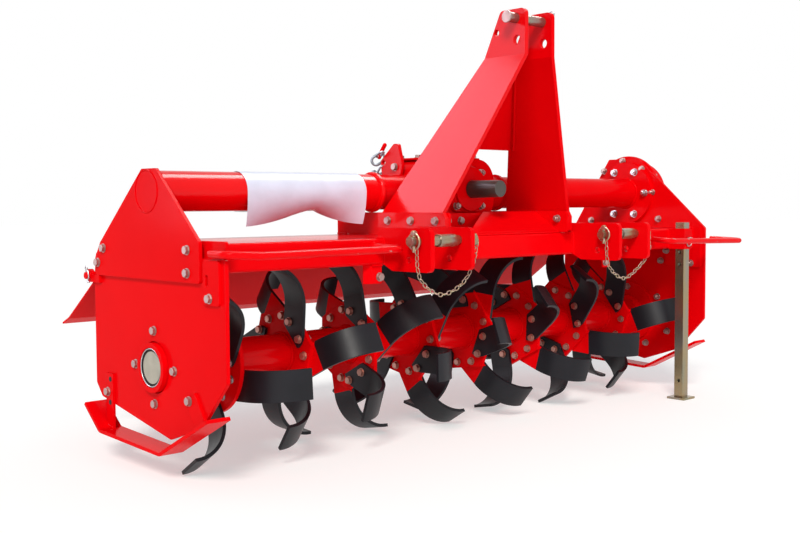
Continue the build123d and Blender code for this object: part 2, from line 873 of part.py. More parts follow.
with BuildPart() as rotor_shaft:
    with BuildSketch(side_plane(first_x - tube_over)):
        Circle(rotor_tube_r)
    extrude(amount=last_x - first_x + 2 * tube_over)
    with BuildSketch(side_plane(journal_left)):
        Circle(journal_r)
    extrude(amount=journal_right - journal_left)
rotor_shaft.part.label = "rotor_shaft"
export_step(rotor_shaft.part, "parts/rotor_shaft.step")


# Blades: a bolted root, then a strip that sweeps back and is folded across the machine.
# The master blade's root points along +Y from the rotor's axis, with its face at x = 0.
blade_t = 8
blade_root = 64
blade_half = 36
blade_lean = 42.6  # from the root's middle line back to the strip's
blade_depth = 219  # rotor axis to the folded tip's outer face, along the strip
blade_lead = 87  # strip's leading edge, from a line through the rotor's axis along the strip
blade_trail = 19
blade_reach = 105
blade_bend = 97
blade_round = 45
blade_over = 5

lean = Vector(1, 0).rotate(Axis.Z, -blade_lean)
across = Vector(0, 1).rotate(Axis.Z, -blade_lean)
lead_tip = lean * (blade_depth + blade_over) + across * blade_lead
trail_tip = lean * (blade_depth + blade_over) + across * blade_trail
shoulder = (blade_lead - blade_half * across.Y) / across.X  # along the root, to the strip's edge

with BuildPart() as blade_master:
    with BuildSketch(Plane.YZ):
        with BuildLine():
            FilletPolyline(
                (blade_root, -blade_half),
                (blade_root, blade_half),
                (shoulder, blade_half),
                lead_tip,
                radius=(0, blade_round),
            )
            Polyline(lead_tip, trail_tip, (blade_root, -blade_half))
        make_face()
    extrude(amount=blade_reach)
    fold_plane = Plane(
        origin=(0, 0, 0),
        x_dir=Vector(0, lean.X, lean.Y),
        z_dir=Vector(0, across.X, across.Y),
    )
    with BuildSketch(fold_plane.offset(-blade_depth)):
        with BuildLine():
            FilletPolyline(
                (0, -blade_t / 2),
                (blade_depth - blade_t / 2, -blade_t / 2),
                (blade_depth - blade_t / 2, -blade_reach),
                radius=blade_bend,
            )
        trace(line_width=blade_t)
    extrude(amount=2 * blade_depth, mode=Mode.INTERSECT)

blade_masters = {1: blade_master.part, -1: blade_master.part.mirror(Plane.YZ)}

for index, (plate_x, turn) in enumerate(rotor_plates, start=1):
    name = f"blade_ring_{index}"
    with BuildPart() as blade_ring:
        with BuildSketch(side_plane(plate_x - rotor_plate_t / 2)):
            if plate_x == first_x:
                Circle(plate_disc_r)
            else:
                RegularPolygon(plate_hex_r, blades_per_plate, rotation=turn + 180 / blades_per_plate)
            Circle(rotor_tube_r, mode=Mode.SUBTRACT)
        extrude(amount=rotor_plate_t)
        for count in range(blades_per_plate):
            side = 1 if count % 2 else -1
            face_x = plate_x + side * rotor_plate_t / 2
            angle = turn + count * 360 / blades_per_plate
            with Locations(Location((face_x, rotor_y, rotor_z), (angle, 0, 0))):
                add(blade_masters[side])
    blade_ring.part.label = name
    export_step(blade_ring.part, f"parts/{name}.step")

# Rotor bearings: a flanged housing through the left plate, and one inside the right plate
ring_r = 54
ring_in_r = 43
ring_out = 12  # how far the left housing stands out of its plate
housing_in = 40
housing_flange_r = 95
housing_flange_t = 8
disc_r = 35
disc_t = 8

with BuildPart() as bearing_left:
    with BuildSketch(side_plane(left_x - plate_t - ring_out)):
        Circle(ring_r)
        Circle(ring_in_r, mode=Mode.SUBTRACT)
    extrude(amount=ring_out + plate_t)
    with BuildSketch(side_plane(left_x)):
        Circle(housing_flange_r)
        Circle(journal_r + fit, mode=Mode.SUBTRACT)
    extrude(amount=housing_flange_t)
    with BuildSketch(side_plane(left_x)):
        Circle(ring_r)
        Circle(journal_r + fit, mode=Mode.SUBTRACT)
    extrude(amount=housing_in)
bearing_left.part.label = "bearing_left"
export_step(bearing_left.part, "parts/bearing_left.step")

with BuildPart() as hub_disc:
    with BuildSketch(side_plane(journal_left)):
        Circle(disc_r)
    extrude(amount=-disc_t)
hub_disc.part.label = "hub_disc"
export_step(hub_disc.part, "parts/hub_disc.step")

with BuildPart() as bearing_right:
    with BuildSketch(side_plane(right_x)):
        Circle(housing_flange_r)
        Circle(journal_r + fit, mode=Mode.SUBTRACT)
    extrude(amount=-housing_flange_t)
    with BuildSketch(side_plane(right_x)):
        Circle(ring_r)
        Circle(journal_r + fit, mode=Mode.SUBTRACT)
    extrude(amount=-housing_in)
bearing_right.part.label = "bearing_right"
export_step(bearing_right.part, "parts/bearing_right.step")

# Hood: folded sheet from the beam over the rotor to the board's hinge
sheet_t = 4
hinge_y = 272
hinge_z = 186
hinge_r = 8
knuckle_r = 13
hood_gap = 0.5
hood_end = 0.5
hood_rear = 246
hood_rear_z = 178
hood_crown_rear = 120
hood_z = beam_top - sheet_t / 2
hood_bend = 60

with BuildPart() as hood:
    with BuildSketch(side_plane(left_x + hood_end)):
        with BuildLine():
            FilletPolyline(
                (beam_y + beam_side / 2, hood_z),
                (hood_crown_rear, hood_z),
                (hood_rear, hood_rear_z),
                radius=hood_bend,
            )
        trace(line_width=sheet_t)
    extrude(amount=plate_gap - 2 * hood_end)
    for end_x in (left_x, right_x - beam_end_t):
        with BuildSketch(side_plane(end_x)):
            with Locations((beam_end_rear, beam_top)):
                Rectangle(2 * beam_side, 2 * beam_side, align=(Align.MAX, Align.CENTER))
        extrude(amount=beam_end_t, mode=Mode.SUBTRACT)
hood.part.label = "hood"
export_step(hood.part, "parts/hood.step")

# Rear board, hinged on a rod at the hood's rear edge
board_half = plate_gap / 2 - 8
board_t = 4
board_bend = (428, 74)
board_bend_r = 20
board_lip = (462, 59)

ear_t = 8
ear_r = 15
ear_front = 226
ear_low = 171
rod_out = 26

# Chain that holds the board up: from a bracket on the main tube to a lug on the board
bracket_gap = 3
bracket_x = -box_half - bracket_gap
bracket_t = 10
anchor_back = 70  # hole in the bracket, from the tube's axis
anchor_up = 78
chain_x = bracket_x - bracket_t / 2
chain_hole_r = 6.4
lug_plate_t = 8
lug_along = 85  # hinge to the lug, along the board
lug_length = 34
lug_plate_high = 30
lug_hole_up = 19
board_link = 42.6
board_link_w = 24
board_link_wire = 6
chain_sag = 8

board_length = math.hypot(board_bend[0] - hinge_y, board_bend[1] - hinge_z)
board_slope = math.degrees(math.atan2(board_bend[1] - hinge_z, board_bend[0] - hinge_y))
lug_seat = (
    hinge_y + (board_bend[0] - hinge_y) * lug_along / board_length,
    hinge_z + (board_bend[1] - hinge_z) * lug_along / board_length,
)

with BuildPart() as hinge_rod:
    with BuildSketch(side_plane(left_x - rod_out)):
        with Locations((hinge_y, hinge_z)):
            Circle(hinge_r)
    extrude(amount=plate_gap + 2 * rod_out)
    for ear_x in (left_x - plate_t - ear_t, right_x + plate_t):
        with BuildSketch(side_plane(ear_x)):
            with Locations((hinge_y, hinge_z)):
                Circle(ear_r)
            with Locations((ear_front, ear_low)):
                Rectangle(hinge_y - ear_front, seam_z - ear_low, align=(Align.MIN, Align.MIN))
        extrude(amount=ear_t)
hinge_rod.part.label = "hinge_rod"
export_step(hinge_rod.part, "parts/hinge_rod.step")

with BuildPart() as rear_board:
    with BuildSketch(side_plane(hitch_offset - board_half)):
        with BuildLine():
            FilletPolyline((hinge_y, hinge_z), board_bend, board_lip, radius=board_bend_r)
        trace(line_width=board_t)
        with Locations((hinge_y, hinge_z)):
            Circle(knuckle_r)
            Circle(hinge_r + fit, mode=Mode.SUBTRACT)
    extrude(amount=2 * board_half)
    with BuildSketch(side_plane(chain_x - lug_plate_t / 2) * Location((*lug_seat, 0), (0, 0, board_slope))):
        Rectangle(lug_length, lug_plate_high, align=(Align.CENTER, Align.MIN))
        with Locations((0, lug_hole_up)):
            Circle(chain_hole_r, mode=Mode.SUBTRACT)
    extrude(amount=lug_plate_t)
rear_board.part.label = "rear_board"
export_step(rear_board.part, "parts/rear_board.step")

# Bracket for the rear board's chain, on the main tube
# y and z of its corners, from the tube's axis
bracket_corners = [(10, 38), (0, 70), (15, 126), (31, 126), (82, 83), (76, 38)]
bracket_round = 6

with BuildPart() as chain_bracket:
    with BuildSketch(side_plane(bracket_x)) as outline:
        with BuildLine():
            Polyline(*[(tube_y + y, tube_z + z) for y, z in bracket_corners], close=True)
        make_face()
        fillet(outline.vertices(), bracket_round)
        with Locations((tube_y, tube_z)):
            Circle(tube_r, mode=Mode.SUBTRACT)
        with Locations((tube_y + anchor_back, tube_z + anchor_up)):
            Circle(chain_hole_r, mode=Mode.SUBTRACT)
    extrude(amount=-bracket_t)
chain_bracket.part.label = "chain_bracket"
export_step(chain_bracket.part, "parts/chain_bracket.step")

chain_start = Vector(chain_x, rotor_y + tube_y + anchor_back, rotor_z + tube_z + anchor_up)
lug_hole = Vector(*lug_seat) + Vector(0, lug_hole_up).rotate(Axis.Z, board_slope)
chain_end = Vector(chain_x, rotor_y + lug_hole.X, rotor_z + lug_hole.Y)
chain_pull = (chain_end - chain_start).normalized() * board_link_wire / 2
make_chain(
    "board_chain",
    [
        chain_start + chain_pull,
        (chain_start + chain_end) / 2 - Vector(0, 0, chain_sag),
        chain_end - chain_pull,
    ],
    board_link,
    board_link_w,
    board_link_wire,
    1,
)
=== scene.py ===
import bpy
import json
import math
import random
from mathutils import Matrix, Vector


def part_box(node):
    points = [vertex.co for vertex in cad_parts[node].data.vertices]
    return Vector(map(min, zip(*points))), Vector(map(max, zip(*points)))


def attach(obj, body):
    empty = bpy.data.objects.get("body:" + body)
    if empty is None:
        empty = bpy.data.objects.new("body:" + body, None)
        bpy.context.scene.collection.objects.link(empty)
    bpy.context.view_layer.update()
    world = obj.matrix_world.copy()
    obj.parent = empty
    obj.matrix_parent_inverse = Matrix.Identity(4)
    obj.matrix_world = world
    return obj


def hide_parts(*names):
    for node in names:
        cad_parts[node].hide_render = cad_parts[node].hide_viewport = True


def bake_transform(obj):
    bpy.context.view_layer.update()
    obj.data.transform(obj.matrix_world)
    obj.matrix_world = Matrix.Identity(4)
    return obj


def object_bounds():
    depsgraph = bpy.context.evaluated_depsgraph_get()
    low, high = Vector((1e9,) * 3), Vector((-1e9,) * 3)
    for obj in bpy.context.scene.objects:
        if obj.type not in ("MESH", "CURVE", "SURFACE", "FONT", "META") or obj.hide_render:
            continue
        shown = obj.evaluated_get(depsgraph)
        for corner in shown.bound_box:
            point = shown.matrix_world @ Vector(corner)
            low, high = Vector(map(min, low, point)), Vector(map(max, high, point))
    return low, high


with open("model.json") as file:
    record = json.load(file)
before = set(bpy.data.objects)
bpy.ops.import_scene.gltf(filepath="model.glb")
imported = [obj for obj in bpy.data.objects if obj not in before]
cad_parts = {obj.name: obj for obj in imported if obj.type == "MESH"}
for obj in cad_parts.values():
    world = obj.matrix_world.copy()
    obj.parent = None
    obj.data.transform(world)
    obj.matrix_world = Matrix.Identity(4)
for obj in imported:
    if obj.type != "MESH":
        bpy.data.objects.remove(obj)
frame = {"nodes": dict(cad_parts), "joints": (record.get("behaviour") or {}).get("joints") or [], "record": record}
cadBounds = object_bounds()
joints = {joint["name"]: joint for joint in frame["joints"]}
rotorAxis = Vector(joints["rotor_spin"]["pos_m"])
random.seed(7)
print("frame loaded")


# A place in metres, from millimetres across, behind and above the rotor's axis
def place(x, y, z):
    return Vector((x / 1000, rotorAxis.y + y / 1000, rotorAxis.z + z / 1000))


def deselectAll():
    bpy.ops.object.select_all(action="DESELECT")


def pick(objects):
    deselectAll()
    for obj in objects:
        obj.select_set(True)
    bpy.context.view_layer.objects.active = objects[0]


# Camera and light

# place in metres, turns in degrees, lens and sensor in millimetres
view = {
    "x": -2.0704, "y": -1.8496, "z": -0.0360, "yaw": 43.02, "pitch": 3.29, "roll": 0.3,
    "lens": 49.33, "sensor": 36,
}


def buildCamera():
    bpy.ops.object.camera_add(location=(view["x"], view["y"], view["z"]))
    camera = bpy.context.object
    camera.data.lens = view["lens"]
    camera.data.sensor_width = view["sensor"]
    camera.rotation_euler = (
        Matrix.Rotation(math.radians(-view["yaw"]), 3, "Z")
        @ Matrix.Rotation(math.radians(90 - view["pitch"]), 3, "X")
        @ Matrix.Rotation(math.radians(-view["roll"]), 3, "Z")
    ).to_euler()
    bpy.context.scene.camera = camera


studio = {
    "ambient": 0.42, "sky": (0.88, 0.94, 1.0), "background": 1.0,
    "floor": (0.60, 0.60, 0.60), "floorGlow": 0.44, "floorRoughness": 0.9, "floorSpecular": 0.1,
    "floorSize": 60, "floorGap": 0.0005,
}


def buildWorld():
    world = bpy.data.worlds.new("studioWorld")
    bpy.context.scene.world = world
    world.use_nodes = True
    nodes, links = world.node_tree.nodes, world.node_tree.links
    nodes.clear()
    rays = nodes.new("ShaderNodeLightPath")
    seen = nodes.new("ShaderNodeMath")
    seen.operation = "MAXIMUM"
    links.new(rays.outputs["Is Camera Ray"], seen.inputs[0])
    links.new(rays.outputs["Is Glossy Ray"], seen.inputs[1])
    either = nodes.new("ShaderNodeMath")
    either.operation = "MAXIMUM"
    links.new(seen.outputs[0], either.inputs[0])
    links.new(rays.outputs["Is Transmission Ray"], either.inputs[1])
    ambient = nodes.new("ShaderNodeBackground")
    ambient.inputs["Color"].default_value = (*studio["sky"], 1)
    ambient.inputs["Strength"].default_value = studio["ambient"]
    shown = nodes.new("ShaderNodeBackground")
    shown.inputs["Color"].default_value = (1, 1, 1, 1)
    shown.inputs["Strength"].default_value = studio["background"]
    mix = nodes.new("ShaderNodeMixShader")
    out = nodes.new("ShaderNodeOutputWorld")
    links.new(either.outputs[0], mix.inputs["Fac"])
    links.new(ambient.outputs[0], mix.inputs[1])
    links.new(shown.outputs[0], mix.inputs[2])
    links.new(mix.outputs[0], out.inputs["Surface"])


sun = {"towards": (0.60, 0.50, -0.62), "strength": 2.75, "angle": 16, "colour": (1.0, 0.965, 0.90)}

panelTints = {"cool": (0.95, 0.82, 1.0), "warm": (1.0, 0.97, 0.95)}
panelAim = Vector((0, 0.1, -0.1))
# place and size in metres, power in watts; a mirror panel shows only as a reflection, the fill only as light
panels = {
    "skyPanel": {"at": (-1.8, 2.75, 2.4), "size": (1.3, 1.3), "power": 46, "tint": "cool", "mirror": True},
    "lowPanel": {"at": (-2.7, 2.35, 0.5), "size": (1.0, 1.3), "power": 22, "tint": "cool", "mirror": True},
    "tubePanel": {"at": (1.1, 0.36, 3.7), "size": (1.6, 4.0), "power": 290, "tint": "warm", "mirror": True},
    "frontFill": {"at": (-1.2, -4.5, 0.4), "size": (3.0, 3.0), "power": 78, "tint": "warm", "mirror": False},
}


def buildLamps():
    bpy.ops.object.light_add(type="SUN", location=(0, 0, 3))
    key = bpy.context.object
    key.name = "keySun"
    key.data.energy = sun["strength"]
    key.data.color = sun["colour"]
    key.data.angle = math.radians(sun["angle"])
    key.rotation_euler = Vector(sun["towards"]).to_track_quat("-Z", "Y").to_euler()
    for name, panel in panels.items():
        bpy.ops.object.light_add(type="AREA", location=panel["at"])
        light = bpy.context.object
        light.name = name
        light.data.shape = "RECTANGLE"
        light.data.size, light.data.size_y = panel["size"]
        light.data.energy = panel["power"]
        light.data.color = panelTints[panel["tint"]]
        light.visible_diffuse = not panel["mirror"]
        light.visible_glossy = panel["mirror"]
        aim = panelAim - Vector(panel["at"])
        light.rotation_euler = aim.to_track_quat("-Z", "Y").to_euler()


def buildFloor():
    deselectAll()
    low = cadBounds[0]
    bpy.ops.mesh.primitive_plane_add(size=studio["floorSize"], location=(0, 0, low[2] - studio["floorGap"]))
    floor = bpy.context.object
    floor.name = "floor"
    material = bpy.data.materials.new("paleFloor")
    material.use_nodes = True
    shader = material.node_tree.nodes["Principled BSDF"]
    shader.inputs["Base Color"].default_value = (*studio["floor"], 1)
    shader.inputs["Roughness"].default_value = studio["floorRoughness"]
    shader.inputs["Specular IOR Level"].default_value = studio["floorSpecular"]
    shader.inputs["Emission Color"].default_value = (1, 1, 1, 1)
    shader.inputs["Emission Strength"].default_value = studio["floorGlow"]
    floor.data.materials.append(material)


bpy.context.scene.view_settings.view_transform = "Standard"
buildCamera()
buildWorld()
buildLamps()
buildFloor()
print("camera, light and floor made")


# Materials

def newMaterial(name):
    material = bpy.data.materials.new(name)
    material.use_nodes = True
    nodes, links = material.node_tree.nodes, material.node_tree.links
    coords = nodes.new("ShaderNodeTexCoord")
    return material, nodes, links, nodes["Principled BSDF"], coords.outputs["Object"]


def addNoise(nodes, links, coords, scale, detail=2.0, stretch=(1, 1, 1)):
    mapping = nodes.new("ShaderNodeMapping")
    mapping.inputs["Scale"].default_value = stretch
    noise = nodes.new("ShaderNodeTexNoise")
    noise.inputs["Scale"].default_value = scale
    noise.inputs["Detail"].default_value = detail
    links.new(coords, mapping.inputs["Vector"])
    links.new(mapping.outputs[0], noise.inputs["Vector"])
    return noise.outputs["Fac"]


def addRamp(nodes, links, value, stops):
    ramp = nodes.new("ShaderNodeValToRGB")
    points = ramp.color_ramp.elements
    while len(points) < len(stops):
        points.new(0.5)
    for point, (where, colour) in zip(points, stops):
        point.position = where
        point.color = (*colour, 1)
    links.new(value, ramp.inputs["Fac"])
    return ramp.outputs["Color"]


def addRoundedEdges(nodes, links, shader, radius, height, depth):
    edge = nodes.new("ShaderNodeBevel")
    edge.samples = 4
    edge.inputs["Radius"].default_value = radius
    bump = nodes.new("ShaderNodeBump")
    bump.inputs["Distance"].default_value = depth
    bump.inputs["Strength"].default_value = 1.0
    links.new(height, bump.inputs["Height"])
    links.new(edge.outputs["Normal"], bump.inputs["Normal"])
    links.new(bump.outputs["Normal"], shader.inputs["Normal"])


def addRoughness(nodes, links, shader, coords, scale, low, high):
    spread = nodes.new("ShaderNodeMapRange")
    spread.inputs["To Min"].default_value = low
    spread.inputs["To Max"].default_value = high
    links.new(addNoise(nodes, links, coords, scale, 3), spread.inputs["Value"])
    links.new(spread.outputs[0], shader.inputs["Roughness"])


# cloud is the scale of the slow change of tone, grain that of the surface, depths and edges in metres
paint = {
    "shade": (0.66, 0.000, 0.002), "body": (0.72, 0.001, 0.003), "scuff": (0.30, 0.24, 0.23),
    "flat": 0.02, "gloss": 0.10, "rod": 0.06, "tube": 0.20, "roughness": (0.11, 0.20), "smear": 14,
    "cloud": 3.2, "grain": 260, "depth": 0.00005, "edge": 0.0016, "chips": 46, "chipEdge": (0.69, 0.72),
}


def makeRedPaint(name, specular, worn):
    material, nodes, links, shader, coords = newMaterial(name)
    cloud = addNoise(nodes, links, coords, paint["cloud"], 3)
    colour = addRamp(nodes, links, cloud, [(0.30, paint["shade"]), (0.62, paint["body"])])
    if worn:
        whole, bare = paint["chipEdge"]
        specks = addNoise(nodes, links, coords, paint["chips"], 5)
        chips = addRamp(nodes, links, specks, [(whole, (0, 0, 0)), (bare, (1, 1, 1))])
        mix = nodes.new("ShaderNodeMix")
        mix.data_type = "RGBA"
        links.new(chips, mix.inputs["Factor"])
        links.new(colour, mix.inputs["A"])
        mix.inputs["B"].default_value = (*paint["scuff"], 1)
        colour = mix.outputs["Result"]
    links.new(colour, shader.inputs["Base Color"])
    addRoughness(nodes, links, shader, coords, paint["smear"], *paint["roughness"])
    shader.inputs["Specular IOR Level"].default_value = specular
    grain = addNoise(nodes, links, coords, paint["grain"], 1)
    addRoundedEdges(nodes, links, shader, paint["edge"], grain, paint["depth"])
    return material


darkCoat = {"cloud": 9, "smear": 40, "spread": 0.06, "grain": 200, "depth": 0.00006}


def makeDarkCoat(name, dark, light, roughness, specular, edge):
    material, nodes, links, shader, coords = newMaterial(name)
    cloud = addNoise(nodes, links, coords, darkCoat["cloud"], 4)
    links.new(addRamp(nodes, links, cloud, [(0.35, dark), (0.70, light)]), shader.inputs["Base Color"])
    spread = darkCoat["spread"]
    addRoughness(nodes, links, shader, coords, darkCoat["smear"], roughness - spread, roughness + spread)
    shader.inputs["Specular IOR Level"].default_value = specular
    grain = addNoise(nodes, links, coords, darkCoat["grain"], 2)
    addRoundedEdges(nodes, links, shader, edge, grain, darkCoat["depth"])
    return material


# tints of the passivated zinc, with where each one starts in the cloud
zincTints = [
    (0.30, (0.33, 0.35, 0.26)),
    (0.44, (0.46, 0.35, 0.19)),
    (0.56, (0.39, 0.35, 0.30)),
    (0.68, (0.45, 0.25, 0.22)),
]
zinc = {"metallic": 0.85, "grain": 220, "depth": 0.00005, "edge": 0.0008}


def makeYellowZinc(name, scale, stretch, roughness, tone=1.0):
    material, nodes, links, shader, coords = newMaterial(name)
    cloud = addNoise(nodes, links, coords, scale, 4, stretch)
    stops = [(where, tuple(part * tone for part in tint)) for where, tint in zincTints]
    links.new(addRamp(nodes, links, cloud, stops), shader.inputs["Base Color"])
    shader.inputs["Metallic"].default_value = zinc["metallic"]
    shader.inputs["Roughness"].default_value = roughness
    grain = addNoise(nodes, links, coords, zinc["grain"], 3)
    addRoundedEdges(nodes, links, shader, zinc["edge"], grain, zinc["depth"])
    return material


plainMetal = {"metallic": 0.9, "shade": 0.82, "cloud": 30, "grain": 300, "depth": 0.00003, "edge": 0.0006}


def makePlainMetal(name, colour, roughness):
    material, nodes, links, shader, coords = newMaterial(name)
    dark = tuple(part * plainMetal["shade"] for part in colour)
    cloud = addNoise(nodes, links, coords, plainMetal["cloud"], 4)
    links.new(addRamp(nodes, links, cloud, [(0.35, dark), (0.65, colour)]), shader.inputs["Base Color"])
    shader.inputs["Metallic"].default_value = plainMetal["metallic"]
    shader.inputs["Roughness"].default_value = roughness
    grain = addNoise(nodes, links, coords, plainMetal["grain"], 2)
    addRoundedEdges(nodes, links, shader, plainMetal["edge"], grain, plainMetal["depth"])
    return material


film = {"shade": 0.93, "cloud": 22, "wrinkles": 60, "depth": 0.0003, "edge": 0.0004}


def makeFilm(name, colour, roughness):
    material, nodes, links, shader, coords = newMaterial(name)
    shade = tuple(part * film["shade"] for part in colour)
    cloud = addNoise(nodes, links, coords, film["cloud"], 3)
    links.new(addRamp(nodes, links, cloud, [(0.35, shade), (0.65, colour)]), shader.inputs["Base Color"])
    shader.inputs["Roughness"].default_value = roughness
    wrinkles = addNoise(nodes, links, coords, film["wrinkles"], 2)
    addRoundedEdges(nodes, links, shader, film["edge"], wrinkles, film["depth"])
    return material


redPaint = makeRedPaint("redPowderCoat", paint["flat"], False)
glossPaint = makeRedPaint("redPowderCoatGloss", paint["gloss"], False)
tubePaint = makeRedPaint("redPowderCoatTube", paint["tube"], False)
wornPaint = makeRedPaint("redPowderCoatScuffed", paint["rod"], True)
bladePaint = makeDarkCoat("blackBladePaint", (0.006, 0.006, 0.008), (0.010, 0.010, 0.014), 0.40, 0.24, 0.0012)
capPlastic = makeDarkCoat("blackCapPlastic", (0.044, 0.037, 0.032), (0.062, 0.052, 0.046), 0.36, 0.35, 0.0015)
sealRubber = makeDarkCoat("darkSealRubber", (0.012, 0.010, 0.010), (0.022, 0.018, 0.018), 0.60, 0.20, 0.0006)
boltZinc = makePlainMetal("paleZincBolts", (0.44, 0.32, 0.30), 0.40)
legZinc = makeYellowZinc("yellowZincTube", 16, (1, 1, 0.22), 0.26, 0.72)
chainZinc = makeYellowZinc("yellowZincChain", 160, (1, 1, 1), 0.30)
hubSteel = makePlainMetal("hubSteel", (0.44, 0.41, 0.33), 0.30)
brightSteel = makePlainMetal("brightZinc", (0.52, 0.53, 0.54), 0.26)
roseZinc = makePlainMetal("roseZincBolts", (0.50, 0.27, 0.22), 0.40)
chainSteel = makePlainMetal("greyChainSteel", (0.37, 0.41, 0.46), 0.34)
outerFilm = makeFilm("whiteFilm", (0.62, 0.66, 0.80), 0.34)
# the white film's inward faces, painted darker and beige: painted shade where the curled flaps face the tube
shadedFilmInside = makeFilm("beigeFilmShadedInside", (0.50, 0.40, 0.31), 0.55)

slotMaterials = {
    "red_paint": redPaint,
    "black_paint": bladePaint,
    "zinc": legZinc,
    "bright_steel": brightSteel,
    "black_plastic": capPlastic,
    "white_film": outerFilm,
}
# nodes whose finish is not that of their slot
nodeMaterials = {
    "hub_disc": hubSteel,
    "main_tube_left": tubePaint,
    "mast_left": glossPaint,
    "chain_bracket": glossPaint,
    "rotor_shaft": glossPaint,
    "guard_left": wornPaint,
    "guard_right": wornPaint,
}
ring = {"disc": 0.119, "halfPlate": 0.0052}


# Plates of the rotor are red like its shaft, their blades black
def paintPlate(node, name):
    low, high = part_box(name)
    plateX = (low.x + high.x) / 2
    node.data.materials.append(redPaint)
    for face in node.data.polygons:
        away = (face.center - Vector((face.center.x, rotorAxis.y, rotorAxis.z))).length
        inPlate = abs(face.center.x - plateX) < ring["halfPlate"]
        face.material_index = 1 if away < ring["disc"] and inPlate else 0


def dressNodes():
    for part in frame["record"]["subparts"]:
        name = part["node"]
        node = frame["nodes"][name]
        node.data.materials.clear()
        node.data.materials.append(nodeMaterials.get(name, slotMaterials[part["material_slot"]]))
        if name.startswith("blade_ring"):
            paintPlate(node, name)


dressNodes()
print("materials made")


# Shared steps for the pieces made here

left, right, front, up, down = (-1, 0, 0), (1, 0, 0), (0, -1, 0), (0, 0, 1), (0, 0, -1)


def settle(objects, name, material, body, angle=35):
    pick(objects)
    bpy.ops.object.transform_apply(location=True, rotation=True, scale=True)
    if len(objects) > 1:
        bpy.ops.object.join()
    obj = bpy.context.object
    bpy.ops.object.shade_smooth_by_angle(angle=math.radians(angle))
    obj.name = name
    obj.data.name = name
    obj.data.materials.clear()
    obj.data.materials.append(material)
    obj.data.polygons.foreach_set("material_index", [0] * len(obj.data.polygons))
    if body:
        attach(obj, body)
    return obj


def applyModifier(obj, kind, **values):
    pick([obj])
    modifier = obj.modifiers.new(kind.lower(), kind)
    for key, value in values.items():
        setattr(modifier, key, value)
    bpy.ops.object.modifier_apply(modifier=modifier.name)


def addCylinder(radius, depth, centre, axis, vertices=32, top=None):
    deselectAll()
    turn = Vector(axis).to_track_quat("Z", "Y").to_euler()
    if top is None:
        bpy.ops.mesh.primitive_cylinder_add(
            vertices=vertices, radius=radius / 1000, depth=depth / 1000, location=centre, rotation=turn)
    else:
        bpy.ops.mesh.primitive_cone_add(
            vertices=vertices, radius1=radius / 1000, radius2=top / 1000, depth=depth / 1000,
            location=centre, rotation=turn)
    return bpy.context.object


def addTorus(major, minor, centre, axis, around=48, section=10):
    deselectAll()
    turn = Vector(axis).to_track_quat("Z", "Y").to_euler()
    bpy.ops.mesh.primitive_torus_add(
        major_radius=major / 1000, minor_radius=minor / 1000, major_segments=around, minor_segments=section,
        location=centre, rotation=turn)
    return bpy.context.object


def copyTo(master, spots):
    copies = []
    for spot in spots:
        copy = master.copy()
        copy.data = master.data.copy()
        bpy.context.collection.objects.link(copy)
        copy.matrix_world = spot
        copies.append(copy)
    return copies


def spotAt(point, normal, spin=0.0):
    turn = Vector(normal).to_track_quat("Z", "Y").to_matrix().to_4x4()
    return Matrix.Translation(point) @ turn @ Matrix.Rotation(spin, 4, "Z")


def drop(obj):
    pick([obj])
    bpy.ops.object.delete()


def addTube(points, radius, closed=False, ripple=0.0):
    curve = bpy.data.curves.new("wire", "CURVE")
    curve.dimensions = "3D"
    curve.bevel_depth = radius / 1000
    curve.bevel_resolution = 3
    curve.use_fill_caps = True
    line = curve.splines.new("POLY")
    line.points.add(len(points) - 1)
    for index, point in enumerate(points):
        line.points[index].co = (*point, 1)
        line.points[index].radius = 1 + ripple * (1 if index % 2 else -1)
    line.use_cyclic_u = closed
    obj = bpy.data.objects.new("wire", curve)
    bpy.context.collection.objects.link(obj)
    pick([obj])
    bpy.ops.object.convert(target="MESH")
    return bpy.context.object


def smoothLine(corners, step):
    padded = [2 * corners[0] - corners[1], *corners, 2 * corners[-1] - corners[-2]]
    points = []
    for a, b, c, d in zip(padded, padded[1:], padded[2:], padded[3:]):
        count = max(2, round((c - b).length / step))
        for index in range(count):
            t = index / count
            points.append(0.5 * (2 * b + (c - a) * t + (2 * a - 5 * b + 4 * c - d) * t * t
                                 + (3 * b - a - 3 * c + d) * t * t * t))
    return [*points, corners[-1]]


# Bolts and nuts

# crown is where the head's chamfer starts, washerRim the washer's width, both as shares of the flats
bolt = {
    "flats": 15.5, "head": 6.6, "nut": 8.6, "washer": 1.8, "stud": 3.5,
    "washerRim": 1.32, "shank": 0.33, "crown": 0.475, "tip": 1,
}
smallBolt = {"flats": 13, "head": 6}
bigNut = {"flats": 17.5, "nut": 10, "stud": 4}


def makeHexMaster(name, flats, height, stud):
    base = bolt["washer"]
    middle = (0, 0, (base + height / 2) / 1000)
    hexagon = addCylinder(flats / math.sqrt(3), height, middle, up, 6)
    crown = flats * bolt["crown"]
    cone = addCylinder(crown + height * math.sqrt(3), height, middle, up, 24, crown)
    applyModifier(hexagon, "BOOLEAN", operation="INTERSECT", object=cone, solver="EXACT")
    drop(cone)
    parts = [hexagon, addCylinder(flats * bolt["washerRim"] / 2, base, (0, 0, base / 2000), up, 28)]
    if stud:
        shank, tip = flats * bolt["shank"], bolt["tip"]
        end = base + height + stud
        parts.append(addCylinder(shank, stud, (0, 0, (end - stud / 2) / 1000), up, 20))
        parts.append(addCylinder(shank, tip, (0, 0, (end + tip / 2) / 1000), up, 20, shank - tip))
    pick(parts)
    bpy.ops.object.join()
    bpy.ops.object.transform_apply(location=True, rotation=True, scale=True)
    bpy.context.object.name = name
    return bpy.context.object


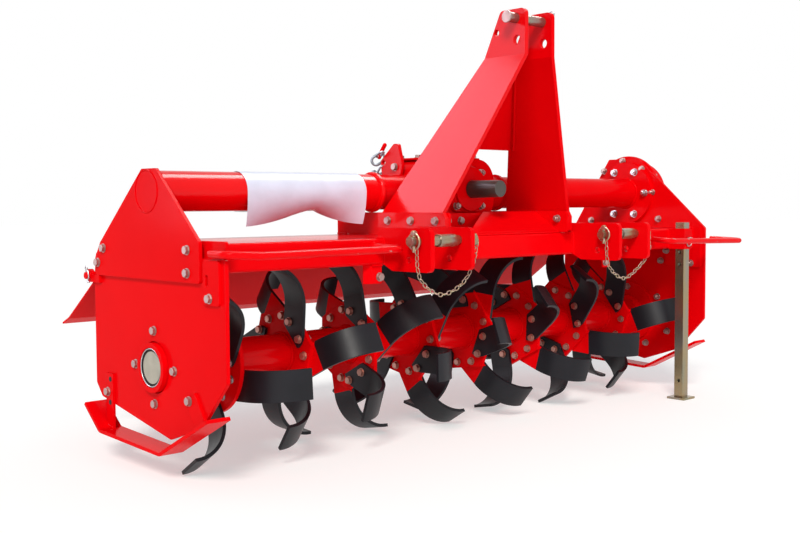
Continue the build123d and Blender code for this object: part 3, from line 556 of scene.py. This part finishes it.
headMaster = makeHexMaster("headMaster", bolt["flats"], bolt["head"], 0)
nutMaster = makeHexMaster("nutMaster", bolt["flats"], bolt["nut"], bolt["stud"])
smallHead = makeHexMaster("smallHead", smallBolt["flats"], smallBolt["head"], 0)
largeNut = makeHexMaster("largeNut", bigNut["flats"], bigNut["nut"], bigNut["stud"])


def boltSet(master, name, material, body, spots):
    seats = [spotAt(point, normal, random.uniform(0, math.pi / 3)) for point, normal in spots]
    copies = copyTo(master, seats)
    return settle(copies, name, material, body, 30)


# x of the faces that heads and nuts sit on
faces = {
    "gusset": -871, "tab": -869, "stay": -869, "plate": -863, "leftInner": -855, "rightInner": 863,
    "rightBeamEnd": 855, "rightStay": 877, "caseFlange": 879, "tubeFlange": 849,
}
mainTube = {"y": 10, "z": 377}
hub = {"bolts": 4, "circle": 79, "flange": 8}
tubeFlange = {"bolts": 6, "circle": 76}


# y and z of bolts spread evenly round a circle, from the rear
def boltCircle(count, radius, y=0, z=0):
    turns = [math.radians(360 / count * index) for index in range(count)]
    return [(y + radius * math.cos(turn), z + radius * math.sin(turn)) for turn in turns]


# y and z of the bolts through each side
hubBolts = boltCircle(hub["bolts"], hub["circle"])
gussetBolts = [(-148, 256), (-147, 209), (201, 251), (228, 218)]
tabBolt = (-224, 161)
skidBolts = [(196, -75), (-144, -54)]
caseBolts = [
    (26, 480), (98, 449), (-46, 453), (-85, 379), (149, 290), (-109, 296), (-119, 166), (-107, 52),
    (-66, -97),
]
beamEndBolts = [(-230, 162), (-144, 198)]


def sidesBolts():
    heads, nuts = [], []
    for y, z in gussetBolts:
        heads.append((place(faces["gusset"], y, z), left))
        nuts.append((place(faces["leftInner"], y, z), right))
    heads.append((place(faces["tab"], *tabBolt), left))
    nuts.append((place(faces["leftInner"] + hub["flange"], *tabBolt), right))
    for y, z in hubBolts:
        heads.append((place(faces["plate"], y, z), left))
        nuts.append((place(faces["leftInner"] + hub["flange"], y, z), right))
    for y, z in skidBolts:
        heads.append((place(faces["stay"], y, z), left))
        nuts.append((place(faces["leftInner"], y, z), right))
        heads.append((place(faces["rightStay"], y, z), right))
        nuts.append((place(faces["rightInner"], y, z), left))
    for y, z in caseBolts:
        nuts.append((place(faces["rightInner"], y, z), left))
    for y, z in beamEndBolts:
        nuts.append((place(faces["rightBeamEnd"], y, z), left))
    for y, z in hubBolts:
        nuts.append((place(faces["rightInner"] - hub["flange"], y, z), left))
    boltSet(headMaster, "sideBoltHeads", boltZinc, "frame", heads)
    boltSet(nutMaster, "sideBoltNuts", boltZinc, "frame", nuts)


# y, z and radius of the gear case's flange at its bolts, and their angles from the rear, upwards
caseRims = [
    (14, 377, 109, (18, 62, 106, 150)),
    (10, 200, 135, (-24, 6, 172, 204)),
    (0, 0, 123, (-22, -68, -112, -158)),
]
casePlugs = [(14, 440), (70, 190), (0, -84)]


def caseFittings():
    spots = []
    for y, z, radius, angles in caseRims:
        for turn in map(math.radians, angles):
            rim = place(faces["caseFlange"], y + radius * math.cos(turn), z + radius * math.sin(turn))
            spots.append((rim, right))
    boltSet(smallHead, "gearCaseBolts", boltZinc, "frame", spots)
    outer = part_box("gear_case")[1].x * 1000
    boltSet(headMaster, "gearCasePlugs", brightSteel, "frame",
            [(place(outer, y, z), right) for y, z in casePlugs])


def tubeFlangeNuts():
    circle = boltCircle(tubeFlange["bolts"], tubeFlange["circle"], mainTube["y"], mainTube["z"])
    spots = [(place(faces["tubeFlange"], y, z), left) for y, z in circle]
    boltSet(largeNut, "tubeFlangeNuts", brightSteel, "frame", spots)


# feet of the mast, brace in front of the gearbox, lugs of the hitch and collar of the input shaft
middle = {
    "mastOuter": 238, "railInner": 218, "mastZ": 306, "mastY": (-226, -142, -60),
    "braceX": (-121.5, -74, 125, 204), "braceY": -150, "braceZ": 304,
    "lugX": 421, "lugY": -230, "lugZ": 183,
    "inputX": 46, "inputY": -107.5, "inputZ": (427, 341),
}


def middleBolts():
    heads, nuts = [], []
    for side in (-1, 1):
        for y in middle["mastY"]:
            heads.append((place(side * middle["mastOuter"], y, middle["mastZ"]), (side, 0, 0)))
            nuts.append((place(side * middle["railInner"], y, middle["mastZ"]), (-side, 0, 0)))
        heads.append((place(side * middle["lugX"], middle["lugY"], middle["lugZ"]), front))
    for x in middle["braceX"]:
        heads.append((place(x, middle["braceY"], middle["braceZ"]), front))
    for z in middle["inputZ"]:
        for side in (-1, 1):
            nuts.append((place(side * middle["inputX"], middle["inputY"], z), front))
    boltSet(headMaster, "middleBoltHeads", boltZinc, "frame", heads)
    boltSet(nutMaster, "middleBoltNuts", boltZinc, "frame", nuts)


# x of each rotor plate's middle and turn of its first blade
rotorPlates = [(-719, 39), (-522, 17), (-318, 2), (-114, 101), (91, 82), (295, 62), (499, 46), (703, 22)]
bladeBolt = {"out": 84, "aside": 26, "blades": 6, "plateHalf": 5, "blade": 8}


def bladeBolts():
    rose, grey, nuts = [], [], []
    for plateX, turn in rotorPlates:
        for count in range(bladeBolt["blades"]):
            side = 1 if count % 2 else -1
            angle = math.radians(turn + count * 360 / bladeBolt["blades"])
            faceLeft = plateX - bladeBolt["plateHalf"] - (bladeBolt["blade"] if side < 0 else 0)
            faceRight = plateX + bladeBolt["plateHalf"] + (bladeBolt["blade"] if side > 0 else 0)
            for aside in (-bladeBolt["aside"], bladeBolt["aside"]):
                y = bladeBolt["out"] * math.cos(angle) - aside * math.sin(angle)
                z = bladeBolt["out"] * math.sin(angle) + aside * math.cos(angle)
                heads = grey if plateX == rotorPlates[0][0] else rose
                heads.append((place(faceLeft, y, z), left))
                nuts.append((place(faceRight, y, z), right))
    boltSet(headMaster, "bladeBoltHeadsRose", roseZinc, "rotor", rose)
    boltSet(headMaster, "bladeBoltHeadsGrey", brightSteel, "rotor", grey)
    boltSet(nutMaster, "bladeBoltNuts", boltZinc, "rotor", nuts)


sidesBolts()
caseFittings()
tubeFlangeNuts()
middleBolts()
bladeBolts()
print("bolts and nuts made")


# Weld beads, painted over

bead = {"radius": 3.2, "step": 2.4, "ripple": 0.13}


def weldAlong(corners, radius=bead["radius"], closed=False):
    points = []
    ends = [*corners, corners[0]] if closed else corners
    for a, b in zip(ends, ends[1:]):
        count = max(2, round((b - a).length * 1000 / bead["step"]))
        points.extend(a.lerp(b, index / count) for index in range(count))
    if not closed:
        points.append(corners[-1])
    return addTube(points, radius, closed, bead["ripple"])


def weldRound(x, y, z, radius, thick=bead["radius"]):
    count = round(2 * math.pi * radius / bead["step"] / 2) * 2
    points = [place(x, y + radius * math.cos(2 * math.pi * index / count),
                    z + radius * math.sin(2 * math.pi * index / count)) for index in range(count)]
    return addTube(points, thick, True, bead["ripple"])


# corner is the radius of the beam's edges, proud how far a weld stands out from it
beam = {
    "front": -235, "back": -175, "low": 210, "high": 270, "left": -847, "right": 855,
    "corner": 5, "proud": 1,
}
hitch = {"plates": (-411, -399, -284, -272, 272, 284, 399, 411), "hook": -214, "bead": 2.8}
rails = {
    "faces": (226, 218), "outer": 226, "inset": 4, "rear": (112, 148), "top": 271,
    "bead": 2.8, "rearBead": 3,
}
cradle = {"x": 238, "radius": 45, "bead": 3}
sleeve = {"faces": (725, 765), "inset": 3, "bead": 2.6}
# x, radius and bead of the welds round the ends of the main tubes
tubeWelds = [(848, 46, 3.4), (-856, 45, 3), (-871, 45, 2)]
# bead and corners of the welds on the beam's front: under the brace, at the lugs and at the guards' ends
frontWelds = [
    (2.6, [(-130, -232, 271), (214, -232, 271)]),
    (2.4, [(-444, -231, 209), (-414, -231, 209)]),
    (2.4, [(414, -231, 209), (444, -231, 209)]),
    (2.4, [(-447, -236, 246), (-449, -236, 252), (-446, -236, 259), (-438, -236, 261), (-433, -236, 254)]),
    (2.4, [(629, -236, 238), (627, -236, 245), (631, -236, 252), (640, -236, 251)]),
]
# corners of the weld up each side of the mast, x outwards
mastWeld = {"bead": 2.6, "corners": [(145, -135, 487), (43, -231, 703), (43, -243, 740)]}
# y and z of the ends of the welds on the skids' stays and on the ears of the rear board
stayWelds = {"bead": 2.6, "ends": [[(176, -157), (204, -152)], [(-206, -97), (-176, -113)]]}
earWeld = {"bead": 2.2, "ends": [(232, 171), (264, 171)], "x": (-863, 871)}


def frameWelds():
    beads = []
    face, top = beam["front"] - beam["proud"], beam["high"] + beam["proud"]
    for x in (beam["left"], beam["right"]):
        corners = [(beam["front"], beam["low"]), (beam["front"], beam["high"]),
                   (beam["back"], beam["high"]), (beam["back"], beam["low"])]
        beads.append(weldAlong([place(x, y, z) for y, z in corners], closed=True))
    for x in hitch["plates"]:
        corners = [(face, beam["low"]), (face, beam["high"] - beam["corner"]),
                   (beam["front"] + beam["corner"], top), (hitch["hook"], top)]
        beads.append(weldAlong([place(x, y, z) for y, z in corners], hitch["bead"]))
    for side in (-1, 1):
        for x in rails["faces"]:
            ends = (beam["front"] + rails["inset"], beam["back"])
            beads.append(weldAlong([place(side * x, y, top) for y in ends], rails["bead"]))
        beads.append(weldRound(side * cradle["x"], mainTube["y"], mainTube["z"],
                               cradle["radius"], cradle["bead"]))
        beads.append(weldAlong([place(side * rails["outer"], y, rails["top"]) for y in rails["rear"]],
                               rails["rearBead"]))
    for x, radius, thick in tubeWelds:
        beads.append(weldRound(x, mainTube["y"], mainTube["z"], radius, thick))
    for x in sleeve["faces"]:
        beads.append(weldAlong([place(x, beam["front"], beam["low"] + sleeve["inset"]),
                                place(x, beam["front"], beam["high"] - sleeve["inset"])], sleeve["bead"]))
    for thick, corners in frontWelds:
        beads.append(weldAlong([place(*corner) for corner in corners], thick))
    for side in (-1, 1):
        beads.append(weldAlong([place(side * x, y, z) for x, y, z in mastWeld["corners"]], mastWeld["bead"]))
    for stayX, earX in zip((faces["stay"], faces["rightStay"]), earWeld["x"]):
        for ends in stayWelds["ends"]:
            beads.append(weldAlong([place(stayX, y, z) for y, z in ends], stayWelds["bead"]))
        beads.append(weldAlong([place(earX, y, z) for y, z in earWeld["ends"]], earWeld["bead"]))
    settle(beads, "weldBeads", redPaint, "frame", 60)


# bead on the left gusset, from and to in degrees
gussetBead = {"x": -871, "radius": 46, "from": 148, "to": 361, "thick": 1.5, "points": 60}


def raisedBead():
    points = []
    for index in range(gussetBead["points"] + 1):
        sweep = (gussetBead["to"] - gussetBead["from"]) * index / gussetBead["points"]
        turn = math.radians(gussetBead["from"] + sweep)
        points.append(place(gussetBead["x"], mainTube["y"] + gussetBead["radius"] * math.cos(turn),
                            mainTube["z"] + gussetBead["radius"] * math.sin(turn)))
    settle([addTube(points, gussetBead["thick"])], "gussetRaisedBead", redPaint, "frame", 60)


plateWeld = {"aside": 6.5, "radius": 46, "bead": 3}


def rotorWelds():
    beads = []
    for plateX, _ in rotorPlates:
        for x in (plateX - plateWeld["aside"], plateX + plateWeld["aside"]):
            beads.append(weldRound(x, 0, 0, plateWeld["radius"], plateWeld["bead"]))
    settle(beads, "rotorWelds", redPaint, "rotor", 60)


frameWelds()
raisedBead()
rotorWelds()
print("welds made")


# Left hub: seal and snap ring round the turning disc

hubSeal = {"x": -869, "thick": 4, "outer": 43, "inner": 36.5, "snap": 41, "wire": 1.4, "snapX": -872.5}


def leftHub():
    seal = addCylinder(hubSeal["outer"], hubSeal["thick"], place(hubSeal["x"], 0, 0), left, 64)
    bore = addCylinder(hubSeal["inner"], hubSeal["thick"] * 2, place(hubSeal["x"], 0, 0), left, 64)
    applyModifier(seal, "BOOLEAN", operation="DIFFERENCE", object=bore, solver="EXACT")
    drop(bore)
    settle([seal], "hubSeal", sealRubber, "frame", 30)
    snap = addTorus(hubSeal["snap"], hubSeal["wire"], place(hubSeal["snapX"], 0, 0), left, 64, 8)
    settle([snap], "hubSnapRing", brightSteel, "frame", 60)


# y, z and radius of plain holes that a bolt leaves unused
spareHoles = [(186, -46, 6), (188, -99, 6)]
# thickness of the dark disc in each hole, a painted shadow for the inside of the hole
shadowDiscThick = 0.6


# dark discs sunk in the unused holes of the stays: painted shadow standing for the shade inside each hole
def paintHoleShadows():
    discs = []
    for x in (faces["stay"], faces["rightStay"]):
        for y, z, radius in spareHoles:
            discs.append(addCylinder(radius, shadowDiscThick, place(x, y, z), left, 24))
    settle(discs, "stayHoleShadows", sealRubber, "frame", 30)


leftHub()
paintHoleShadows()
print("hub made")


# Gearbox: top cover with its bolts and filler plug, and the cast shoulder round the input

cover = {
    "low": 461, "thick": 6, "halfX": 84, "front": -70, "rear": 80, "edge": 0.0018,
    "boltX": 72, "boltY": (-58, 5, 68), "plugX": 40, "plugY": 30,
}
shoulder = {"radius": 56, "bead": 6, "y": -106, "z": 384}


def gearboxTrim():
    deselectAll()
    middleY = (cover["front"] + cover["rear"]) / 2
    bpy.ops.mesh.primitive_cube_add(size=1, location=place(0, middleY, cover["low"] + cover["thick"] / 2))
    plate = bpy.context.object
    plate.scale = Vector((2 * cover["halfX"], cover["rear"] - cover["front"], cover["thick"])) / 1000
    bpy.ops.object.transform_apply(location=False, rotation=False, scale=True)
    applyModifier(plate, "BEVEL", width=cover["edge"], segments=3)
    centre = place(0, shoulder["y"], shoulder["z"])
    rim = addTorus(shoulder["radius"], shoulder["bead"], centre, front, 64, 12)
    settle([plate, rim], "gearboxCover", redPaint, "frame", 35)
    top = cover["low"] + cover["thick"]
    spots = [(place(side * cover["boltX"], y, top), up) for side in (-1, 1) for y in cover["boltY"]]
    boltSet(smallHead, "coverBolts", boltZinc, "frame", spots)
    boltSet(largeNut, "fillerPlug", brightSteel, "frame",
            [(place(cover["plugX"], cover["plugY"], top), up)])


gearboxTrim()
print("gearbox trim made")


# Chains: welded oval links

pinLink = {"length": 19.4, "width": 10.6, "wire": 2.2, "pitch": 13.62, "y": -353.5}
boardLink = {"length": 42.6, "width": 24, "wire": 6, "pitch": 30.9}
routeStep = 0.002
# x and z of each pin chain's route, from its ring to its eye
pinChains = {
    "pin_chain_left": [
        (-423, 251.3), (-420, 204), (-404, 173), (-350, 145), (-284, 164), (-245, 208), (-231.5, 257.7),
    ],
    "pin_chain_right": [
        (260, 251.3), (263, 204), (279, 174), (335, 147), (397, 170), (450, 211), (451.5, 257.7),
    ],
}
# y and z of the board chain's route, from its bracket down to the board
boardRoute = [(81.9, 452.9), (210, 295), (343.4, 156.5)]


def makeLinkMaster(link):
    deselectAll()
    bpy.ops.mesh.primitive_torus_add(
        major_radius=(link["width"] - link["wire"]) / 2000, minor_radius=link["wire"] / 2000,
        major_segments=28, minor_segments=10)
    master = bpy.context.object
    bpy.ops.object.mode_set(mode="EDIT")
    bpy.ops.mesh.select_all(action="DESELECT")
    bpy.ops.object.mode_set(mode="OBJECT")
    pull = (link["length"] - link["width"]) / 2000
    for sign in (-1, 1):
        for vertex in master.data.vertices:
            vertex.select = sign * vertex.co.x > 0.0001
        bpy.ops.object.mode_set(mode="EDIT")
        bpy.ops.transform.translate(value=(sign * pull, 0, 0))
        bpy.ops.object.mode_set(mode="OBJECT")
    return master


def linksAlong(master, route, pitch, facing, turned):
    line = smoothLine(route, routeStep)
    lengths = [0.0]
    for a, b in zip(line, line[1:]):
        lengths.append(lengths[-1] + (b - a).length)
    count = round(lengths[-1] * 1000 / pitch)
    seats = []
    for index in range(count + 1):
        along = lengths[-1] * index / count
        after = next(i for i, length in enumerate(lengths) if length >= along - 1e-9)
        before = max(0, after - 1)
        gap = lengths[after] - lengths[before]
        seats.append(line[before].lerp(line[after], (along - lengths[before]) / gap if gap else 0))
    spots = []
    for index in range(count):
        run = (seats[index + 1] - seats[index]).normalized()
        normal = run.cross(facing) if (index + turned) % 2 else facing
        side = normal.cross(run)
        spot = Matrix((run, side, normal)).transposed().to_4x4()
        spots.append(Matrix.Translation((seats[index] + seats[index + 1]) / 2) @ spot)
    return copyTo(master, spots)


def pinChainLinks():
    master = makeLinkMaster(pinLink)
    for node, corners in pinChains.items():
        route = [place(x, pinLink["y"], z) for x, z in corners]
        links = linksAlong(master, route, pinLink["pitch"], Vector((0, 1, 0)), 0)
        chain = settle(links, node + "_links", chainZinc, "frame", 60)
        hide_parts(node)
    drop(master)


def boardChainLinks():
    master = makeLinkMaster(boardLink)
    low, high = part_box("board_chain")
    x = (low.x + high.x) * 500
    route = [place(x, y, z) for y, z in boardRoute]
    links = linksAlong(master, route, boardLink["pitch"], Vector(right), 1)
    chain = settle(links, "board_chain_links", chainSteel, None, 60)
    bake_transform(chain)
    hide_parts("board_chain")
    drop(master)


pinChainLinks()
boardChainLinks()
print("chains made")


# Lynch pins with their sprung rings, and the R-clips

lynch = {
    "x": (-423, 260), "y": -345, "z": 265, "radius": 4.5, "top": 24, "tip": 3, "tipRadius": 3,
    "ring": 17.5, "wire": 2.1, "hub": 5.6, "hubLength": 10,
}


def lynchPins():
    parts = []
    length = 2 * lynch["top"] - lynch["tip"]
    middle = lynch["z"] + lynch["tip"] / 2
    tipMiddle = lynch["z"] - lynch["top"] + lynch["tip"] / 2
    hubMiddle = lynch["z"] + lynch["ring"]
    for x in lynch["x"]:
        parts.append(addCylinder(lynch["radius"], length, place(x, lynch["y"], middle), up, 28))
        parts.append(addCylinder(lynch["radius"], lynch["tip"], place(x, lynch["y"], tipMiddle), down, 28,
                                 lynch["tipRadius"]))
        parts.append(addTorus(lynch["ring"], lynch["wire"], place(x, lynch["y"], lynch["z"]), left, 64, 10))
        parts.append(addCylinder(lynch["hub"], lynch["hubLength"], place(x, lynch["y"], hubMiddle), left, 28))
    pins = settle(parts, "lynchPinsAndRings", chainZinc, "frame", 40)
    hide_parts("lynch_pins")


# side view of an R-clip in shares of its reach, sideways and up: straight leg, eye and waved leg
clipShape = [
    (0, -1.9), (0, 1.7), (0.15, 2.1), (0.55, 2.3), (0.95, 2.05), (1.05, 1.55), (0.75, 1.2),
    (1.0, 0.75), (1.18, 0), (0.95, -0.75), (0.35, -1.15), (0.2, -1.4), (0.55, -1.75), (0.9, -2.0),
]
clipStep = 0.0012
topPin = {"y": -316, "z": 790, "x": -86.5, "head": 14.5, "headThick": 5, "edge": 0.0012, "clipX": 64}
# place, lean to the rear, reach in metres and wire radius of each clip
clipSeats = [
    ((topPin["clipX"], topPin["y"], topPin["z"]), -0.3, 0.0135, 1.9),
    ((-878, 272, 186), 0.3, 0.0092, 1.5),
    ((886, 272, 186), 0.3, 0.0092, 1.5),
]


def clipAround(centre, lean, reach, wire):
    upward = Vector((0, lean, 0.95)).normalized()
    side = Vector(right).cross(upward)
    corners = [centre + side * u * reach + upward * v * reach for u, v in clipShape]
    return addTube(smoothLine(corners, wire * clipStep), wire)


def springClips():
    clips = [clipAround(place(*seat), lean, reach, wire) for seat, lean, reach, wire in clipSeats]
    settle(clips, "springClips", brightSteel, "frame", 60)


standPin = {
    "x": 745, "y": -290, "z": 240, "radius": 5, "length": 10,
    "ring": 13, "wire": 1.6, "ringY": -296, "ringZ": 231, "ringAxis": (0, 1, 0.3),
}


def pinEnds():
    centre = place(topPin["x"], topPin["y"], topPin["z"])
    head = addCylinder(topPin["head"], topPin["headThick"], centre, left, 40)
    applyModifier(head, "BEVEL", width=topPin["edge"], segments=3)
    centre = place(standPin["x"], standPin["y"] - standPin["length"] / 2, standPin["z"])
    stub = addCylinder(standPin["radius"], standPin["length"], centre, front, 24)
    centre = place(standPin["x"], standPin["ringY"], standPin["ringZ"])
    ringWire = addTorus(standPin["ring"], standPin["wire"], centre, standPin["ringAxis"], 40, 8)
    settle([head, stub, ringWire], "pinHeads", boltZinc, "frame", 40)


lynchPins()
springClips()
pinEnds()
print("pins and clips made")


# Sheet wrapped round the left tube, loose at its front corners

# around is the length that hugs the tube, free the length past it, whose two corners curl away
wrap = {
    "left": -641, "right": -287, "radius": 45.5, "start": -84, "around": 210, "free": 80, "thick": 0.5,
    "lift": 0.45, "wrinkle": 0.4, "flapLeft": 205, "flapRight": 130, "curl": 1.18, "curlPower": 0.9,
    "bendStart": 0.25, "bendRate": 1.6, "splay": 2.5, "steps": 24, "columns": 96, "rows": 84,
}
# height of each crease, and its waves across and along the sheet
wrapCreases = [(0.5, 0.061, 0.023), (0.35, 0.17, -0.05)]


def wrapHang(across):
    fromLeft = 1 - (across - wrap["left"]) / wrap["flapLeft"]
    fromRight = 1 - (wrap["right"] - across) / wrap["flapRight"]
    return wrap["curl"] * max(0.0, fromLeft, fromRight) ** wrap["curlPower"]


def wrapPlace(u, v):
    across = wrap["left"] + u * (wrap["right"] - wrap["left"])
    length = v * (wrap["around"] + wrap["free"])
    crease = sum(high * math.sin(across * waves + length * slant) for high, waves, slant in wrapCreases)
    radius = wrap["radius"] + wrap["lift"] + wrap["wrinkle"] * crease
    turn = math.radians(wrap["start"]) + min(length, wrap["around"]) / wrap["radius"]
    y = mainTube["y"] + radius * math.cos(turn)
    z = mainTube["z"] + radius * math.sin(turn)
    past = length - wrap["around"]
    if past <= 0:
        return place(across, y, z)
    hang = wrapHang(across)
    heading = turn + math.pi / 2
    run = past / wrap["steps"]
    for index in range(wrap["steps"]):
        share = (index + 0.5) / wrap["steps"]
        heading += run / wrap["radius"] * (1 - hang * min(1.0, wrap["bendRate"] * share + wrap["bendStart"]))
        y += run * math.cos(heading)
        z += run * math.sin(heading)
    outwards = 1 if u < 0.5 else -1
    return place(across + wrap["splay"] * hang * outwards * past / wrap["free"], y, z)


def tubeSheet():
    deselectAll()
    bpy.ops.mesh.primitive_grid_add(x_subdivisions=wrap["columns"], y_subdivisions=wrap["rows"], size=1)
    sheet = bpy.context.object
    for vertex in sheet.data.vertices:
        vertex.co = wrapPlace(vertex.co.x + 0.5, vertex.co.y + 0.5)
    applyModifier(sheet, "SOLIDIFY", thickness=wrap["thick"] / 1000, offset=1.0)
    pick([sheet])
    bpy.ops.object.mode_set(mode="EDIT")
    bpy.ops.mesh.select_all(action="SELECT")
    bpy.ops.mesh.normals_make_consistent(inside=False)
    bpy.ops.object.mode_set(mode="OBJECT")
    settle([sheet], "tubeSheet", outerFilm, "frame", 40)
    # faces turned in towards the tube take the darker beige film, painted shade on the sheet's underside
    sheet.data.materials.append(shadedFilmInside)
    axis = place(0, mainTube["y"], mainTube["z"])
    for face in sheet.data.polygons:
        outward = face.center - Vector((face.center.x, axis.y, axis.z))
        face.material_index = 1 if face.normal.dot(outward) < 0 else 0
    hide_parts("tube_wrap")


tubeSheet()
print("sheet made")


# Lever on the board chain's bracket

lever = {"x": -128, "thick": 11, "route": ((94, 470), (82, 488), (72, 501)), "step": 0.004}
bracketBolt = (-125, 36, 443)
shackle = {"length": 57, "width": 31, "wire": 7.6, "pitch": 50}
tie = {"length": 44, "width": 21, "wire": 6.5, "pitch": 40}
# ends of the open link, which faces forward and left, and of the two small ones that hold it
shackleEnds = ((-137.3, 127.7, 448.7), (-106.7, 98.3, 475.3))
shackleFacing = (-0.693, -0.721, 0)
tieEnds = (((-136, 60, 488), (-136, 96, 471)), ((-124, 129, 447), (-120, 111, 412)))


def chainLever():
    corners = [place(lever["x"], y, z) for y, z in lever["route"]]
    tips = []
    for corner in (corners[0], corners[-1]):
        deselectAll()
        bpy.ops.mesh.primitive_uv_sphere_add(
            segments=20, ring_count=12, radius=lever["thick"] / 2000, location=corner)
        tips.append(bpy.context.object)
    boltSet(headMaster, "bracketBolt", boltZinc, "frame", [(place(*bracketBolt), left)])
    arm = addTube(smoothLine(corners, lever["step"]), lever["thick"] / 2)
    settle([arm, *tips], "bracketLever", redPaint, "frame", 60)


def spareLinks():
    shackleMaster, tieMaster = makeLinkMaster(shackle), makeLinkMaster(tie)
    route = [place(*spot) for spot in shackleEnds]
    links = linksAlong(shackleMaster, route, shackle["pitch"], Vector(shackleFacing), 0)
    for ends in tieEnds:
        route = [place(*spot) for spot in ends]
        links.extend(linksAlong(tieMaster, route, tie["pitch"], Vector(right), 1))
    settle(links, "bracketLinks", chainSteel, "frame", 60)
    drop(shackleMaster)
    drop(tieMaster)


chainLever()
spareLinks()
for master in (headMaster, nutMaster, smallHead, largeNut):
    drop(master)
print("lever made")
